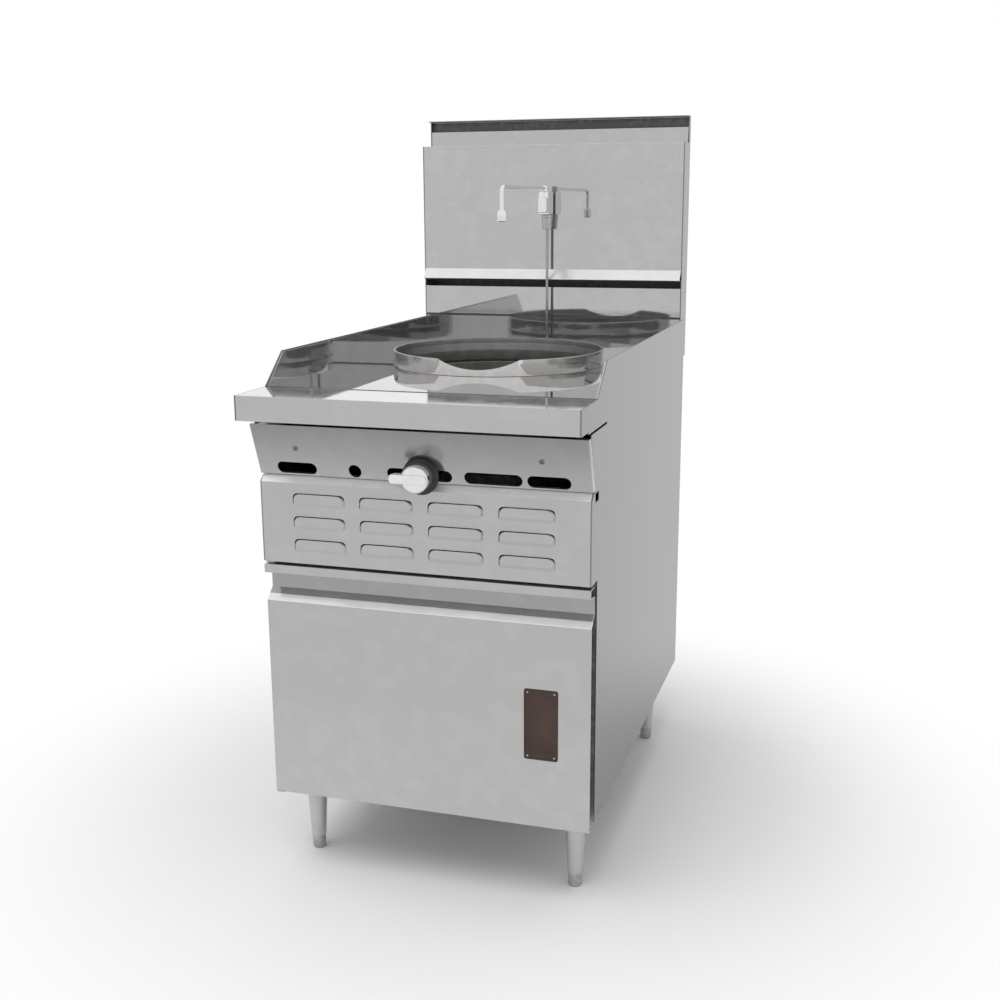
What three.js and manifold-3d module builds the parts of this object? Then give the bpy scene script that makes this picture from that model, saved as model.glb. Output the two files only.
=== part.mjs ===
import * as THREE from 'three';
import { mergeVertices } from 'three/addons/utils/BufferGeometryUtils.js';
import Module from 'manifold-3d';

// A single-chamber commercial gas wok range on legs, with a flue riser and a swing faucet.
// Millimetres, +Z up, front towards -Y. The origin is on the floor under the middle of the range.

const wasm = await Module();
wasm.setup();

// ---- Driving dimensions ----
const width = 610;             // across the side panels
const bodyDepth = 874;         // side panels, front edge to rear edge
const railReach = 126;         // front rail, in front of the side panels
const riserOverhang = 18;      // flue riser, behind the side panels
const sheet = 2;               // stainless sheet
const gap = 0.3;               // clearance between pieces that seat on each other
const past = 5;                // cutting shapes run past the faces that they cut

const legHeight = 152;         // floor to the lower edge of the cabinet
const doorHeight = 450;        // door with its lip
const doorDrop = 2;            // door below the cabinet's lower edge
const doorGap = 6;             // door lip to louver panel
const louverPanelHeight = 148; // flat front of the louver panel
const louverBevel = 12;        // sloped upper edge of the louver panel
const seamHeight = 2;          // louver panel to control panel
const controlHeight = 95;      // control panel, measured upright
const controlLean = 36;        // control panel's top edge in front of its bottom edge
const controlDrop = 5;         // control panel's top edge below the slit
const slitHeight = 4;          // slit between the side panel and the ear that closes the rail
const railClearance = 4;       // slit to the rail's lower edge
const railHeight = 44;         // front face of the rail
const guardHeight = 57;        // splash guards above the deck
const riserHeight = 504;       // riser above the deck

const doorReach = 40;          // door face in front of the side panels
const lipReach = 6;            // door lip in front of the door face
const louverReach = 46;        // louver panel face in front of the side panels
const controlReach = 40;       // control panel's bottom edge in front of the side panels
const controlDepth = 18;       // depth of the control panel's end returns
const returnDepth = 18;        // folded edges of the louver, control and door sheets

const guardSetback = 12;       // foot of the guards' front slope, in front of the side panels
const guardSlopeRun = 70;      // level length of that slope
const slitReach = 61;          // slit behind the side panels' front edge
const notchLength = 26;        // notch in each side panel behind the control panel
const notchHeight = 16;
const notchDrop = 7;           // notch below the top of the louver panel
const jambWidth = 35;          // front frame beside the doorway
const sillHeight = 20;         // front frame above and below the doorway
const floorRaise = 10;         // cabinet floor above the cabinet's lower edge
const baffleFlange = 12;
const backClearance = 3;       // back panel to the riser's foot
const deckJoint = 3;           // open joint between the rail and the deck
const riserDepth = 72;         // riser, front to back
const flueStep = 56;           // riser's upper front behind its lower front
const flueStepHeight = 58;     // height of that upper part
const upperSlot = 22;          // flue slot under the cap
const capSetback = 42;         // cap's front edge behind the riser's lower front
const lipDrop = 335;           // cap to the top of the drip lip
const lipHeight = 22;          // drip lip, sloped face measured upright
const lipStand = 17;           // drip lip in front of the riser
const lowerSlot = 14;          // flue slot under the drip lip
const riserTuck = 27;          // riser below the deck level
const lipHem = 4;              // drip lip's turned-in lower edge
const slotFlange = 16;         // turned-in edge of the lower flue slot
const deckDownturn = 18;       // deck's turned-down front edge

const ringInset = 15;          // wok ring's outside inside the chamber's
const ringWall = 5;
const ringHeight = 31;
const ringSetback = 419;       // ring centre behind the side panels' front edge
const spigotWall = 3;          // ring's lower collar in the deck
const spigotDrop = 15;         // collar below the deck level
const collarInset = 3.5;       // collar's outside inside the ring's
const ringPlay = 0.5;          // collar to the deck's hole
const scoopDepth = 19;         // dip in the front of the ring
const scoopHalfWidth = 80;
const scoopTurn = 6;           // dip's middle, degrees round from straight ahead

const chamberInset = 77;       // chamber inside the side panels' faces
const chamberHeight = 238;
const chamberWall = 3;
const linerWall = 31;
const linerTopClearance = 18;
const chamberPort = 100;       // radius of the air opening under the burner
const ductWidth = 300;
const ductHeight = 90;
const ductDrop = 60;           // deck level to the top of the flue duct
const ductMouth = 60;          // duct's inner end behind the ring's centre
const ductClearance = 4;       // duct to the back panel
const ductLap = 7;             // duct inside the riser's foot

const legInset = 45;           // leg centre inside the side panel's face
const legFrontInset = 43;      // leg centre behind the front edge of the side panels
const legRearInset = 129;      // leg centre in front of the rear edge
const legTopRadius = 21;
const legFootRadius = 14;
const flangeRadius = 36;
const flangeHeight = 4;
const footRadius = 13;
const footHeight = 26;
const stemRadius = 6;
const footChamfer = 2;
const stemHeight = 32;         // threaded stem above the foot
const footTravel = 20;         // room above the stem

const knobOffset = 8;          // knob axis beside the middle
const knobRadius = 24.5;
const knobLength = 30;
const knobWingReach = 45;
const knobWingWidth = 20;
const knobSkirtRadius = 33;
const knobSkirtWidth = 6;
const knobClearance = 14;      // skirt in front of the control panel, at the axis
const knobWingStart = 4;       // wing behind the knob's face
const knobWingThickness = 12;
const knobChamfer = 3;
const skirtChamfer = 2;
const shaftRadius = 4.5;
const shaftInKnob = 18;
const shaftInValve = 20;
const shaftRaise = 2;          // shaft above the middle of the long holes

const slotHeight = 23;         // long holes in the control panel
const slotDown = 86.7;           // their middle, down the panel from its top edge
const roundHoleRadius = 12;
const roundHoleOffset = -120;
const endSlotLength = 76;      // long holes near the ends
const endSlotInset = 74;       // their middles inside the side panels' faces
const middleSlotLength = 119;  // long hole behind the knob
const rightSlotLength = 103;
const rightSlotOffset = 133;

const louverWidth = 99;
const louverHeight = 27;
const louverStand = 8;         // hood in front of the panel
const louverPitchX = 128;
const louverPitchZ = 42;
const louverColumns = 4;
const louverRows = 3;
const hoodWall = 1.5;
const hoodFlat = 12;           // upright part of a hood, above its lower edge

const manifoldRadius = 13.5;
const manifoldBehindPanel = 41; // manifold axis behind the side panels' front edge
const manifoldEnd = 40;        // manifold past the pilot valve
const gasPipeInset = 43;       // gas pipe inside the right side panel's face
const gasPipeStub = 16;        // gas and water pipes behind the back panel
const pipeWall = 3;
const elbowWall = 4;           // elbow outside the pipe's radius
const elbowReach = 22;
const valveRadius = 16;
const valveLength = 48;
const outletRadius = 9;
const outletSetback = 18;      // outlet behind the valve's front face
const outletDrop = 26;         // outlet's lower end below the manifold's axis
const pilotValveRadius = 7;
const pilotValveLength = 22;
const pilotOutletRadius = 5;
const pilotOutletSetback = 12; // pilot valve's outlet in front of the manifold
const pilotOutletDrop = 14;
const supplyRadius = 6;
const supplyStep = 15;         // supply tube's drop towards the middle
const pilotTubeRadius = 3;
const pilotTubeBend = 10;
const pilotTubeSetback = 120;  // bend in the pilot tube, in front of the ring's centre

const burnerRadius = 72;
const burnerRise = 45;         // burner's top above the chamber floor
const burnerRim = 18;          // upright side of the burner
const burnerTaper = 6;         // chamfer under that side
const burnerShoulder = 10;     // narrower under that side
const burnerNeck = 20;         // neck's radius
const neckFlange = 8;          // flange that rests on the strap
const jetCount = 12;
const jetCircle = 52;
const jetRadius = 6;
const jetHeight = 12;
const jetRoot = 2;
const strapReach = 130;
const strapHeight = 5;
const strapMargin = 12;        // strap beside the neck
const venturiDrop = 30;        // venturi's axis below the chamber floor
const venturiLength = 230;
const venturiThroat = 15;
const venturiBell = 27;
const venturiTaper = 60;       // taper at the burner's end
const bellStart = 50;          // bell's inner end behind its mouth
const bellEdge = 10;
const inletRadius = 22;
const inletReach = 55;         // burner's inlet in front of the ring's centre
const shutterBore = 11;
const shutterRadius = 28;
const shutterThickness = 3;
const orificeRadius = 9;
const orificeTipRadius = 6;
const orificeLength = 26;
const orificeBase = 12;
const pilotOffset = -87;       // pilot beside the middle
const pilotRadius = 6;
const pilotFlange = 4;
const pilotDrop = 20;          // pilot below the strap
const pilotTip = 4;            // pilot above the burner
const pilotCone = 6;

const waterPipeRadius = 3.2;
const pipeToLip = 2.5;         // water pipe in front of the drip lip
const faucetHeight = 291;      // deck to the foot of the valve body
const socketHeight = 32;
const faucetBodyHeight = 51;
const faucetBodyWidth = 22;
const faucetBodyReach = 34;    // body in front of the pipe's axis
const faucetBodyRear = 12;     // body behind the pipe's axis
const socketRadius = 13;       // socket's top
const socketNarrow = 10.5;     // socket's foot
const socketCap = 12;          // solid top of the socket
const pipeNutRadius = 13;
const pipeNutHeight = 9;
const waterRunDrop = 40;       // level water pipe below the deck
const waterInletInset = 105;   // water inlet inside the left side panel's face
const pipeBend = 22;
const handleStem = 4;          // handle in front of the body
const handleStemRadius = 4;
const handleStemDepth = 7;
const handleLength = 32;
const handleWidth = 18;
const handleThickness = 4;
const handleCorner = 5;
const handleDrop = 4;         // handle's middle below the body's
const swivelReach = 22;        // spout's pivot in front of the pipe's axis
const collarRadius = 8;
const collarHeight = 13;
const spoutReach = 328;        // pivot to the nozzle's axis
const spoutDrop = 54;          // arm to the end of the drop tube
const spoutRadius = 4.2;
const spoutBend = 14;
const nozzleRadius = 9.5;
const nozzleHeight = 22;
const nozzleBore = 14;         // nozzle below the end of the drop tube
const nozzleLedge = 2;
const nozzleChamfer = 3;

const hingeInset = 8;          // hinge pins from the door's left edge
const hingeSetback = 9;        // hinge pins behind the door's face
const pinRadius = 4;
const pinLength = 12;          // hinge pins inside the door
const bracketSide = 7;         // bracket outside the pin's axis
const bracketInset = 9;        // bracket inside the pin's axis
const bracketFront = 8;        // bracket in front of the pin's axis
const bracketLeg = 14;         // bracket's upright leg past the pin
const bracketGap = 1.5;        // door to the upper bracket
const grooveDepth = 22;        // finger groove behind the door's face
const grooveDrop = 16;         // door's top edge to the groove
const grooveHeight = 34;
const grooveSlope = 20;        // sloped foot of the groove
const grooveRoof = 4;          // slope under the lip
const innerInset = 20;         // door's inner pan inside its edges
const innerClearance = 6;      // inner pan to the front frame
const innerRaise = 12;         // inner pan above the door's lower edge
const innerDrop = 8;           // inner plate below the door's top edge
const innerBoxDrop = 26;       // inner box below the groove
const catchInset = 26;
const catchWidth = 14;
const catchHeight = 40;
const catchDrop = 50;          // catch's middle below the door's top edge
const catchThickness = 3.6;
const strikeHeight = 48;
const strikeThickness = 1.5;
const badgeWidth = 62;
const badgeHeight = 132;
const badgeThickness = 1.2;
const badgeCorner = 5;
const badgeInset = 89;         // badge's middle from the door's right edge
const badgeRaise = 195;        // badge's middle above the door's lower edge

// ---- Places that follow from the sizes ----
const frontMost = -(railReach + bodyDepth + riserOverhang) / 2;
const bodyFront = frontMost + railReach;
const bodyRear = bodyFront + bodyDepth;
const riserRear = bodyRear + riserOverhang;
const riserFront = riserRear - riserDepth;
const halfWidth = width / 2;
const innerHalf = halfWidth - sheet - gap;

const doorBottom = legHeight - doorDrop;
const doorTop = doorBottom + doorHeight;
const louverBottom = doorTop + doorGap;
const louverTop = louverBottom + louverPanelHeight;
const controlBottom = louverTop + louverBevel + seamHeight;
const controlTop = controlBottom + controlHeight;
const slitBottom = controlTop + controlDrop;
const earBottom = slitBottom + slitHeight;
const railBottom = earBottom + railClearance;
const deckLevel = railBottom + railHeight;
const guardTop = deckLevel + guardHeight;
const riserTop = deckLevel + riserHeight;
const riserFoot = deckLevel - riserTuck;

const doorFace = bodyFront - doorReach;
const lipFace = doorFace - lipReach;
const louverFace = bodyFront - louverReach;
const controlBottomY = bodyFront - controlReach;
const controlTopY = controlBottomY - controlLean;
const railFront = frontMost;
const guardFoot = bodyFront - guardSetback;
const deckFront = guardFoot + deckJoint;
const ringY = bodyFront + ringSetback;
const chamberRadius = halfWidth - chamberInset;
const ringRadius = chamberRadius - ringInset;
const openingRadius = ringRadius - collarInset;
const chamberTop = deckLevel - sheet - gap;
const chamberFloor = chamberTop - chamberHeight;
const cabinetFloorTop = legHeight + floorRaise;
const lipTop = riserTop - lipDrop;
const lipBottom = lipTop - lipHeight;
const baffleBottom = louverBottom;

const controlSlope = Math.hypot(controlHeight, controlLean);
const slotZ = controlTop - slotDown * controlHeight / controlSlope;
const slotY = controlTopY + slotDown * controlLean / controlSlope;
const shaftZ = slotZ + shaftRaise;
const skirtBack = slotY - knobClearance;
const endSlotOffset = halfWidth - endSlotInset;
const slotPlaces = [
  [-endSlotOffset, endSlotLength],
  [0, middleSlotLength],
  [rightSlotOffset, rightSlotLength],
  [endSlotOffset, endSlotLength],
];

// ---- Shapes ----
function block(x0, x1, y0, y1, z0, z1) {
  const geometry = new THREE.BoxGeometry(x1 - x0, y1 - y0, z1 - z0);
  return geometry.translate((x0 + x1) / 2, (y0 + y1) / 2, (z0 + z1) / 2);
}

function shapeOf(points) {
  return new THREE.Shape(points.map(([a, b]) => new THREE.Vector2(a, b)));
}

// An outline in Y and Z, carried along X.
function acrossX(points, x0, x1) {
  const geometry = new THREE.ExtrudeGeometry(shapeOf(points), { depth: x1 - x0, bevelEnabled: false });
  const turn = new THREE.Matrix4().makeBasis(
    new THREE.Vector3(0, 1, 0), new THREE.Vector3(0, 0, 1), new THREE.Vector3(1, 0, 0));
  return geometry.applyMatrix4(turn).translate(x0, 0, 0);
}

// An outline in X and Z, carried along Y.
function acrossY(shape, y0, y1, curveSegments = 8) {
  const geometry = new THREE.ExtrudeGeometry(shape, { depth: y1 - y0, bevelEnabled: false, curveSegments });
  return geometry.rotateX(Math.PI / 2).translate(0, y1, 0);
}

// A closed outline of a sheet that follows a bent line; the sheet lies on the line's left.
function folded(line, thickness) {
  const normals = [];
  for (let i = 0; i < line.length - 1; i++) {
    const run = [line[i + 1][0] - line[i][0], line[i + 1][1] - line[i][1]];
    const length = Math.hypot(run[0], run[1]);
    normals.push([-run[1] / length, run[0] / length]);
  }
  const inner = line.map((point, i) => {
    const before = normals[Math.max(i - 1, 0)];
    const after = normals[Math.min(i, normals.length - 1)];
    const spread = 1 + before[0] * after[0] + before[1] * after[1];
    return [
      point[0] + thickness * (before[0] + after[0]) / spread,
      point[1] + thickness * (before[1] + after[1]) / spread,
    ];
  });
  return [...line, ...inner.reverse()];
}

// A body of revolution about an upright axis, from a closed profile of radius and height.
function turned(profile, segments = 32) {
  const points = [...profile, profile[0]].map(([r, z]) => new THREE.Vector2(r, z));
  return new THREE.LatheGeometry(points, segments).rotateX(Math.PI / 2);
}

function rodZ(radius, z0, z1, x = 0, y = 0, segments = 24) {
  const geometry = new THREE.CylinderGeometry(radius, radius, z1 - z0, segments).rotateX(Math.PI / 2);
  return geometry.translate(x, y, (z0 + z1) / 2);
}

function rodY(radius, y0, y1, x = 0, z = 0, segments = 24) {
  const geometry = new THREE.CylinderGeometry(radius, radius, y1 - y0, segments);
  return geometry.translate(x, (y0 + y1) / 2, z);
}

function rodX(radius, x0, x1, y = 0, z = 0, segments = 24) {
  const geometry = new THREE.CylinderGeometry(radius, radius, x1 - x0, segments).rotateZ(Math.PI / 2);
  return geometry.translate((x0 + x1) / 2, y, z);
}

// A rounded bar outline, long in X, in the XZ plane.
function stadium(x, z, length, height) {
  const radius = height / 2;
  const reach = length / 2 - radius;
  const shape = new THREE.Shape();
  shape.absarc(x + reach, z, radius, -Math.PI / 2, Math.PI / 2);
  shape.absarc(x - reach, z, radius, Math.PI / 2, Math.PI * 1.5);
  return shape;
}

// A rectangle with round corners, about the origin.
function roundedPlate(length, height, corner) {
  const shape = new THREE.Shape();
  const a = length / 2 - corner;
  const b = height / 2 - corner;
  [[a, b], [-a, b], [-a, -b], [a, -b]].forEach(([x, z], i) =>
    shape.absarc(x, z, corner, i * Math.PI / 2, (i + 1) * Math.PI / 2));
  return shape;
}

// Straight runs through the given points, with round bends between them.
function bentPath(points, bend) {
  const corners = points.map((p) => new THREE.Vector3(...p));
  const path = new THREE.CurvePath();
  let start = corners[0];
  for (let i = 1; i < corners.length - 1; i++) {
    const into = corners[i].clone().sub(corners[i - 1]).normalize();
    const out = corners[i + 1].clone().sub(corners[i]).normalize();
    const bendStart = corners[i].clone().addScaledVector(into, -bend);
    const bendEnd = corners[i].clone().addScaledVector(out, bend);
    path.add(new THREE.LineCurve3(start, bendStart));
    path.add(new THREE.QuadraticBezierCurve3(bendStart, corners[i], bendEnd));
    start = bendEnd;
  }
  path.add(new THREE.LineCurve3(start, corners[corners.length - 1]));
  return path;
}

function tubeAlong(points, bend, radius, step, sides = 10) {
  const path = bentPath(points, bend);
  const section = new THREE.Shape();
  for (let i = 0; i < sides; i++) {
    const angle = i / sides * Math.PI * 2;
    const corner = [radius * Math.cos(angle), radius * Math.sin(angle)];
    if (i === 0) section.moveTo(...corner);
    else section.lineTo(...corner);
  }
  const steps = Math.ceil(path.getLength() / step);
  return new THREE.ExtrudeGeometry(section, { steps, extrudePath: path, bevelEnabled: false });
}

// ---- Joining and cutting ----
function toSolid(geometry) {
  const bare = geometry.clone();
  bare.deleteAttribute('normal');
  bare.deleteAttribute('uv');
  const welded = mergeVertices(bare, 1e-4);
  return new wasm.Manifold(new wasm.Mesh({
    numProp: 3,
    vertProperties: new Float32Array(welded.attributes.position.array),
    triVerts: new Uint32Array(welded.index.array),
  }));
}

function toGeometry(solid) {
  const mesh = solid.getMesh();
  const geometry = new THREE.BufferGeometry();
  geometry.setAttribute('position', new THREE.BufferAttribute(mesh.vertProperties, 3));
  geometry.setIndex(new THREE.BufferAttribute(mesh.triVerts, 1));
  const flat = geometry.toNonIndexed();
  flat.computeVertexNormals();
  return flat;
}

function join(...pieces) {
  return toGeometry(pieces.map(toSolid).reduce((whole, piece) => whole.add(piece)));
}

function cut(base, ...tools) {
  return toGeometry(tools.map(toSolid).reduce((whole, tool) => whole.subtract(tool), toSolid(base)));
}

function common(first, second) {
  return toGeometry(toSolid(first).intersect(toSolid(second)));
}

// ---- Materials ----
function metal(color, roughness, metalness = 1) {
  return () => new THREE.MeshStandardMaterial({ color, roughness, metalness });
}

const satinSteel = metal(0xb5b4b1, 0.42);
const mirrorSteel = metal(0xa9a9a7, 0.12);
const ringSteel = metal(0x8d8b87, 0.28);
const innerSteel = metal(0x8f8f8d, 0.5);
const chrome = metal(0xdfe3e4, 0.12);
const castIron = metal(0x35332f, 0.75, 0.6);
const brass = metal(0xb08d4a, 0.35);
const blackIron = metal(0x2a2a29, 0.6, 0.5);
const refractory = metal(0x5d5850, 0.95, 0);
const blackEnamel = metal(0x141414, 0.35, 0);
const blackPlastic = metal(0x111111, 0.4, 0);
const badgeBrown = metal(0x4a2c1c, 0.4, 0.3);
const zinc = metal(0x9a9a96, 0.4);

// ---- Cabinet ----
function sidePanel(side) {
  const outline = [
    [bodyFront, legHeight],
    [bodyRear, legHeight],
    [bodyRear, guardTop],
    [guardFoot + guardSlopeRun, guardTop],
    [guardFoot, deckLevel],
    [railFront, deckLevel],
    [railFront, railBottom],
    [controlTopY, railBottom],
    [controlTopY, earBottom],
    [bodyFront + slitReach, earBottom],
    [bodyFront + slitReach, slitBottom],
    [controlTopY + controlDepth + gap, slitBottom],
    [controlBottomY + controlDepth + gap, controlBottom],
    [louverFace + louverBevel, louverTop + louverBevel - seamHeight],
    [louverFace, louverTop],
    [louverFace, louverBottom],
    [bodyFront, louverBottom],
  ];
  const outer = side * halfWidth;
  const inner = side * (halfWidth - sheet);
  const panel = acrossX(outline, Math.min(outer, inner), Math.max(outer, inner));
  const notchFront = controlBottomY + controlDepth;
  const notchBottom = louverTop - notchDrop;
  const notch = block(Math.min(outer, inner) - past, Math.max(outer, inner) + past,
    notchFront, notchFront + notchLength, notchBottom, notchBottom + notchHeight);
  return cut(panel, notch);
}

function backPanel(holes) {
  const plate = block(-innerHalf, innerHalf, bodyRear - sheet, bodyRear, legHeight, riserFoot - backClearance);
  return cut(plate, ...holes);
}

function cabinetFloor() {
  const front = bodyFront + sheet + gap;
  const rear = bodyRear - sheet - gap;
  const line = [[rear, legHeight], [rear, cabinetFloorTop], [front, cabinetFloorTop], [front, legHeight]];
  return acrossX(folded(line, sheet), -innerHalf, innerHalf);
}

function frontFrame() {
  const top = louverBottom - sheet;
  const plate = block(-innerHalf, innerHalf, bodyFront, bodyFront + sheet, legHeight, top);
  const opening = block(-innerHalf + jambWidth, innerHalf - jambWidth, bodyFront - past,
    bodyFront + sheet + past, legHeight + sillHeight, top - sillHeight);
  return cut(plate, opening);
}

function cabinetBaffle() {
  const front = bodyFront + sheet + gap;
  const rear = bodyRear - sheet - gap;
  const line = [
    [rear, baffleBottom + baffleFlange], [rear, baffleBottom],
    [front, baffleBottom], [front, baffleBottom + baffleFlange],
  ];
  return acrossX(folded(line.reverse(), sheet), -innerHalf, innerHalf);
}

// One pressed hood, closed above and open below.
function louverHood(x, z) {
  const low = z - louverHeight / 2;
  const high = z + louverHeight / 2;
  const back = louverFace + sheet;
  const lean = (reach, grow) => [
    [back, low - grow], [louverFace - reach, low - grow],
    [louverFace - reach, low + hoodFlat], [louverFace, high], [back, high],
  ];
  const outer = common(
    acrossY(stadium(x, z, louverWidth, louverHeight), louverFace - louverStand, louverFace + sheet / 2, 5),
    acrossX(lean(louverStand, 0), x - louverWidth, x + louverWidth));
  const inner = common(
    acrossY(stadium(x, z - hoodWall, louverWidth - 2 * hoodWall, louverHeight - 2 * hoodWall),
      louverFace - louverStand, back + past, 5),
    acrossX(lean(louverStand - hoodWall, past).map(([y, h]) => [y, h - hoodWall]),
      x - louverWidth, x + louverWidth));
  return { outer, inner };
}

function louverPanel() {
  const line = [
    [louverFace + returnDepth, louverBottom],
    [louverFace, louverBottom],
    [louverFace, louverTop],
    [louverFace + louverBevel, louverTop + louverBevel],
    [louverFace + louverBevel + returnDepth / 2, louverTop + louverBevel],
  ];
  const panel = acrossX(folded(line.reverse(), sheet), -innerHalf, innerHalf);
  const middle = louverBottom + louverPanelHeight / 2;
  const hoods = [];
  for (let row = 0; row < louverRows; row++) {
    for (let column = 0; column < louverColumns; column++) {
      const x = (column - (louverColumns - 1) / 2) * louverPitchX;
      const z = middle + (row - (louverRows - 1) / 2) * louverPitchZ;
      hoods.push(louverHood(x, z));
    }
  }
  return cut(join(panel, ...hoods.map((hood) => hood.outer)), ...hoods.map((hood) => hood.inner));
}

function controlPanel() {
  const depthAt = (y) => y + controlDepth;
  const outline = [
    [controlBottomY, controlBottom], [depthAt(controlBottomY), controlBottom],
    [depthAt(controlTopY), controlTop], [controlTopY, controlTop],
  ];
  const skin = sheet * controlSlope / controlHeight;
  const leanAt = (z) => controlBottomY + (z - controlBottom) * (controlTopY - controlBottomY) / controlHeight;
  const low = controlBottom + sheet;
  const high = controlTop - sheet;
  const hollow = [
    [leanAt(low) + skin, low], [leanAt(low) + 2 * controlDepth, low],
    [leanAt(high) + 2 * controlDepth, high], [leanAt(high) + skin, high],
  ];
  const pan = acrossX(outline, -halfWidth, halfWidth);
  const inside = acrossX(hollow, -halfWidth + sheet, halfWidth - sheet);
  const through = [slotY - controlDepth, slotY + controlDepth];
  const slots = slotPlaces.map(([x, length]) =>
    acrossY(stadium(x, slotZ, length, slotHeight * controlHeight / controlSlope), ...through));
  const round = rodY(roundHoleRadius, ...through, roundHoleOffset, slotZ);
  return cut(pan, inside, ...slots, round);
}

function frontRail() {
  const line = [
    [guardFoot, deckLevel], [railFront, deckLevel], [railFront, railBottom],
    [controlTopY - gap, railBottom],
  ];
  return acrossX(folded(line, sheet), -innerHalf, innerHalf);
}

// ---- Cooktop ----
function deckPan() {
  const rear = riserFront - gap;
  const underside = deckLevel - sheet;
  const outline = [
    [deckFront, deckLevel - deckDownturn], [deckFront + sheet, deckLevel - deckDownturn],
    [deckFront + sheet, underside], [rear, underside], [rear, guardTop - sheet],
    [guardFoot + guardSlopeRun, guardTop - sheet], [deckFront + sheet, deckLevel], [deckFront, deckLevel],
  ];
  const pan = acrossX(outline, -innerHalf, innerHalf);
  const flangeInside = innerHalf - sheet;
  const well = block(-flangeInside, flangeInside, deckFront - past, rear + past, deckLevel, guardTop + past);
  const opening = rodZ(openingRadius + ringPlay, underside - past, deckLevel + past, 0, ringY, 72);
  const pipeHole = rodZ(waterPipeRadius + ringPlay, underside - past, deckLevel + past, 0, pipeY, 16);
  return cut(pan, well, opening, pipeHole);
}

function wokRing() {
  const foot = deckLevel + gap;
  const rim = foot + ringHeight;
  const inside = openingRadius - spigotWall;
  const ring = turned([
    [inside, deckLevel - spigotDrop], [openingRadius, deckLevel - spigotDrop], [openingRadius, foot],
    [ringRadius, foot], [ringRadius, rim], [ringRadius - ringWall, rim],
    [ringRadius - ringWall, foot + ringWall], [inside, foot + ringWall],
  ], 72);
  const scoopRadius = (scoopHalfWidth ** 2 + scoopDepth ** 2) / (2 * scoopDepth);
  const scoop = rodY(scoopRadius, -ringRadius - past, -ringRadius * 0.7, 0, rim - scoopDepth + scoopRadius, 120);
  scoop.rotateZ(scoopTurn * Math.PI / 180);
  return cut(ring, scoop);
}

function chamberShell() {
  const shell = turned([
    [chamberPort, chamberFloor], [chamberRadius, chamberFloor], [chamberRadius, chamberTop],
    [chamberRadius - chamberWall, chamberTop], [chamberRadius - chamberWall, chamberFloor + chamberWall],
    [chamberPort, chamberFloor + chamberWall],
  ], 48).translate(0, ringY, 0);
  return cut(shell, ductBore());
}

function chamberLiner() {
  const outer = chamberRadius - chamberWall - gap;
  const inner = outer - linerWall;
  const low = chamberFloor + chamberWall + gap;
  const high = chamberTop - linerTopClearance;
  const liner = turned([[inner, low], [outer, low], [outer, high], [inner, high]], 48).translate(0, ringY, 0);
  return cut(liner, ductBore());
}

const ductTop = deckLevel - ductDrop;
const ductRear = bodyRear - sheet - ductClearance;
const ductRiserFront = riserFront + sheet + gap;

function ductBore() {
  return block(-ductWidth / 2 + sheet, ductWidth / 2 - sheet, ringY + ductMouth, ductRear - sheet,
    ductTop - ductHeight + sheet, ductTop - sheet);
}

function flueDuct() {
  const reach = ringY + 2 * ductMouth;
  const level = block(-ductWidth / 2, ductWidth / 2, reach, ductRear, ductTop - ductHeight, ductTop);
  const upright = block(-ductWidth / 2, ductWidth / 2, ductRiserFront, ductRear,
    ductTop - ductHeight, riserFoot + ductLap);
  const uprightBore = block(-ductWidth / 2 + sheet, ductWidth / 2 - sheet, ductRiserFront + sheet,
    ductRear - sheet, ductTop - ductHeight + sheet, riserFoot + ductLap + past);
  const shellSpace = rodZ(chamberRadius + 2 * gap, chamberFloor - past, chamberTop + past, 0, ringY, 72);
  return cut(join(level, upright), ductBore(), uprightBore, shellSpace);
}

// ---- Riser ----
function riserSide(side) {
  const outer = side * halfWidth;
  const inner = side * (halfWidth - sheet);
  const step = riserFront + flueStep;
  const underCap = riserTop - sheet - gap;
  const seat = guardTop + gap;
  const outline = [
    [riserFront, seat], [bodyRear + gap, seat], [bodyRear + gap, riserFoot], [riserRear, riserFoot],
    [riserRear, underCap], [step, underCap], [step, riserTop - flueStepHeight],
    [riserFront, riserTop - flueStepHeight],
  ];
  return acrossX(outline, Math.min(outer, inner), Math.max(outer, inner));
}

function riserBack() {
  const line = [
    [bodyRear + sheet, riserFoot], [riserRear, riserFoot], [riserRear, riserTop - sheet - gap],
  ];
  return acrossX(folded(line, sheet), -innerHalf, innerHalf);
}

function riserFrontUpper() {
  const slotFloor = riserTop - sheet - upperSlot;
  const step = riserFront + flueStep;
  const line = [
    [step, slotFloor], [step, riserTop - flueStepHeight],
    [riserFront, riserTop - flueStepHeight], [riserFront, lipTop], [riserFront - lipStand, lipBottom],
    [riserFront, lipBottom - lipHem],
  ];
  return acrossX(folded(line, sheet), -innerHalf, innerHalf);
}

function riserFrontLower() {
  const slotBottom = lipBottom - lipHem - lowerSlot;
  const line = [[riserFront + slotFlange, slotBottom], [riserFront, slotBottom], [riserFront, riserFoot]];
  return acrossX(folded(line, sheet), -innerHalf, innerHalf);
}

function riserCap() {
  return block(-halfWidth, halfWidth, riserFront + capSetback, riserRear, riserTop - sheet, riserTop);
}

// ---- Burner ----
const burnerTop = chamberFloor + burnerRise;
const venturiZ = chamberFloor - venturiDrop;
const strapTop = chamberFloor - gap;
const inletFront = ringY - inletReach;
const venturiFront = inletFront - gap - venturiLength;
const orificeRear = venturiFront - orificeLength;

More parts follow.
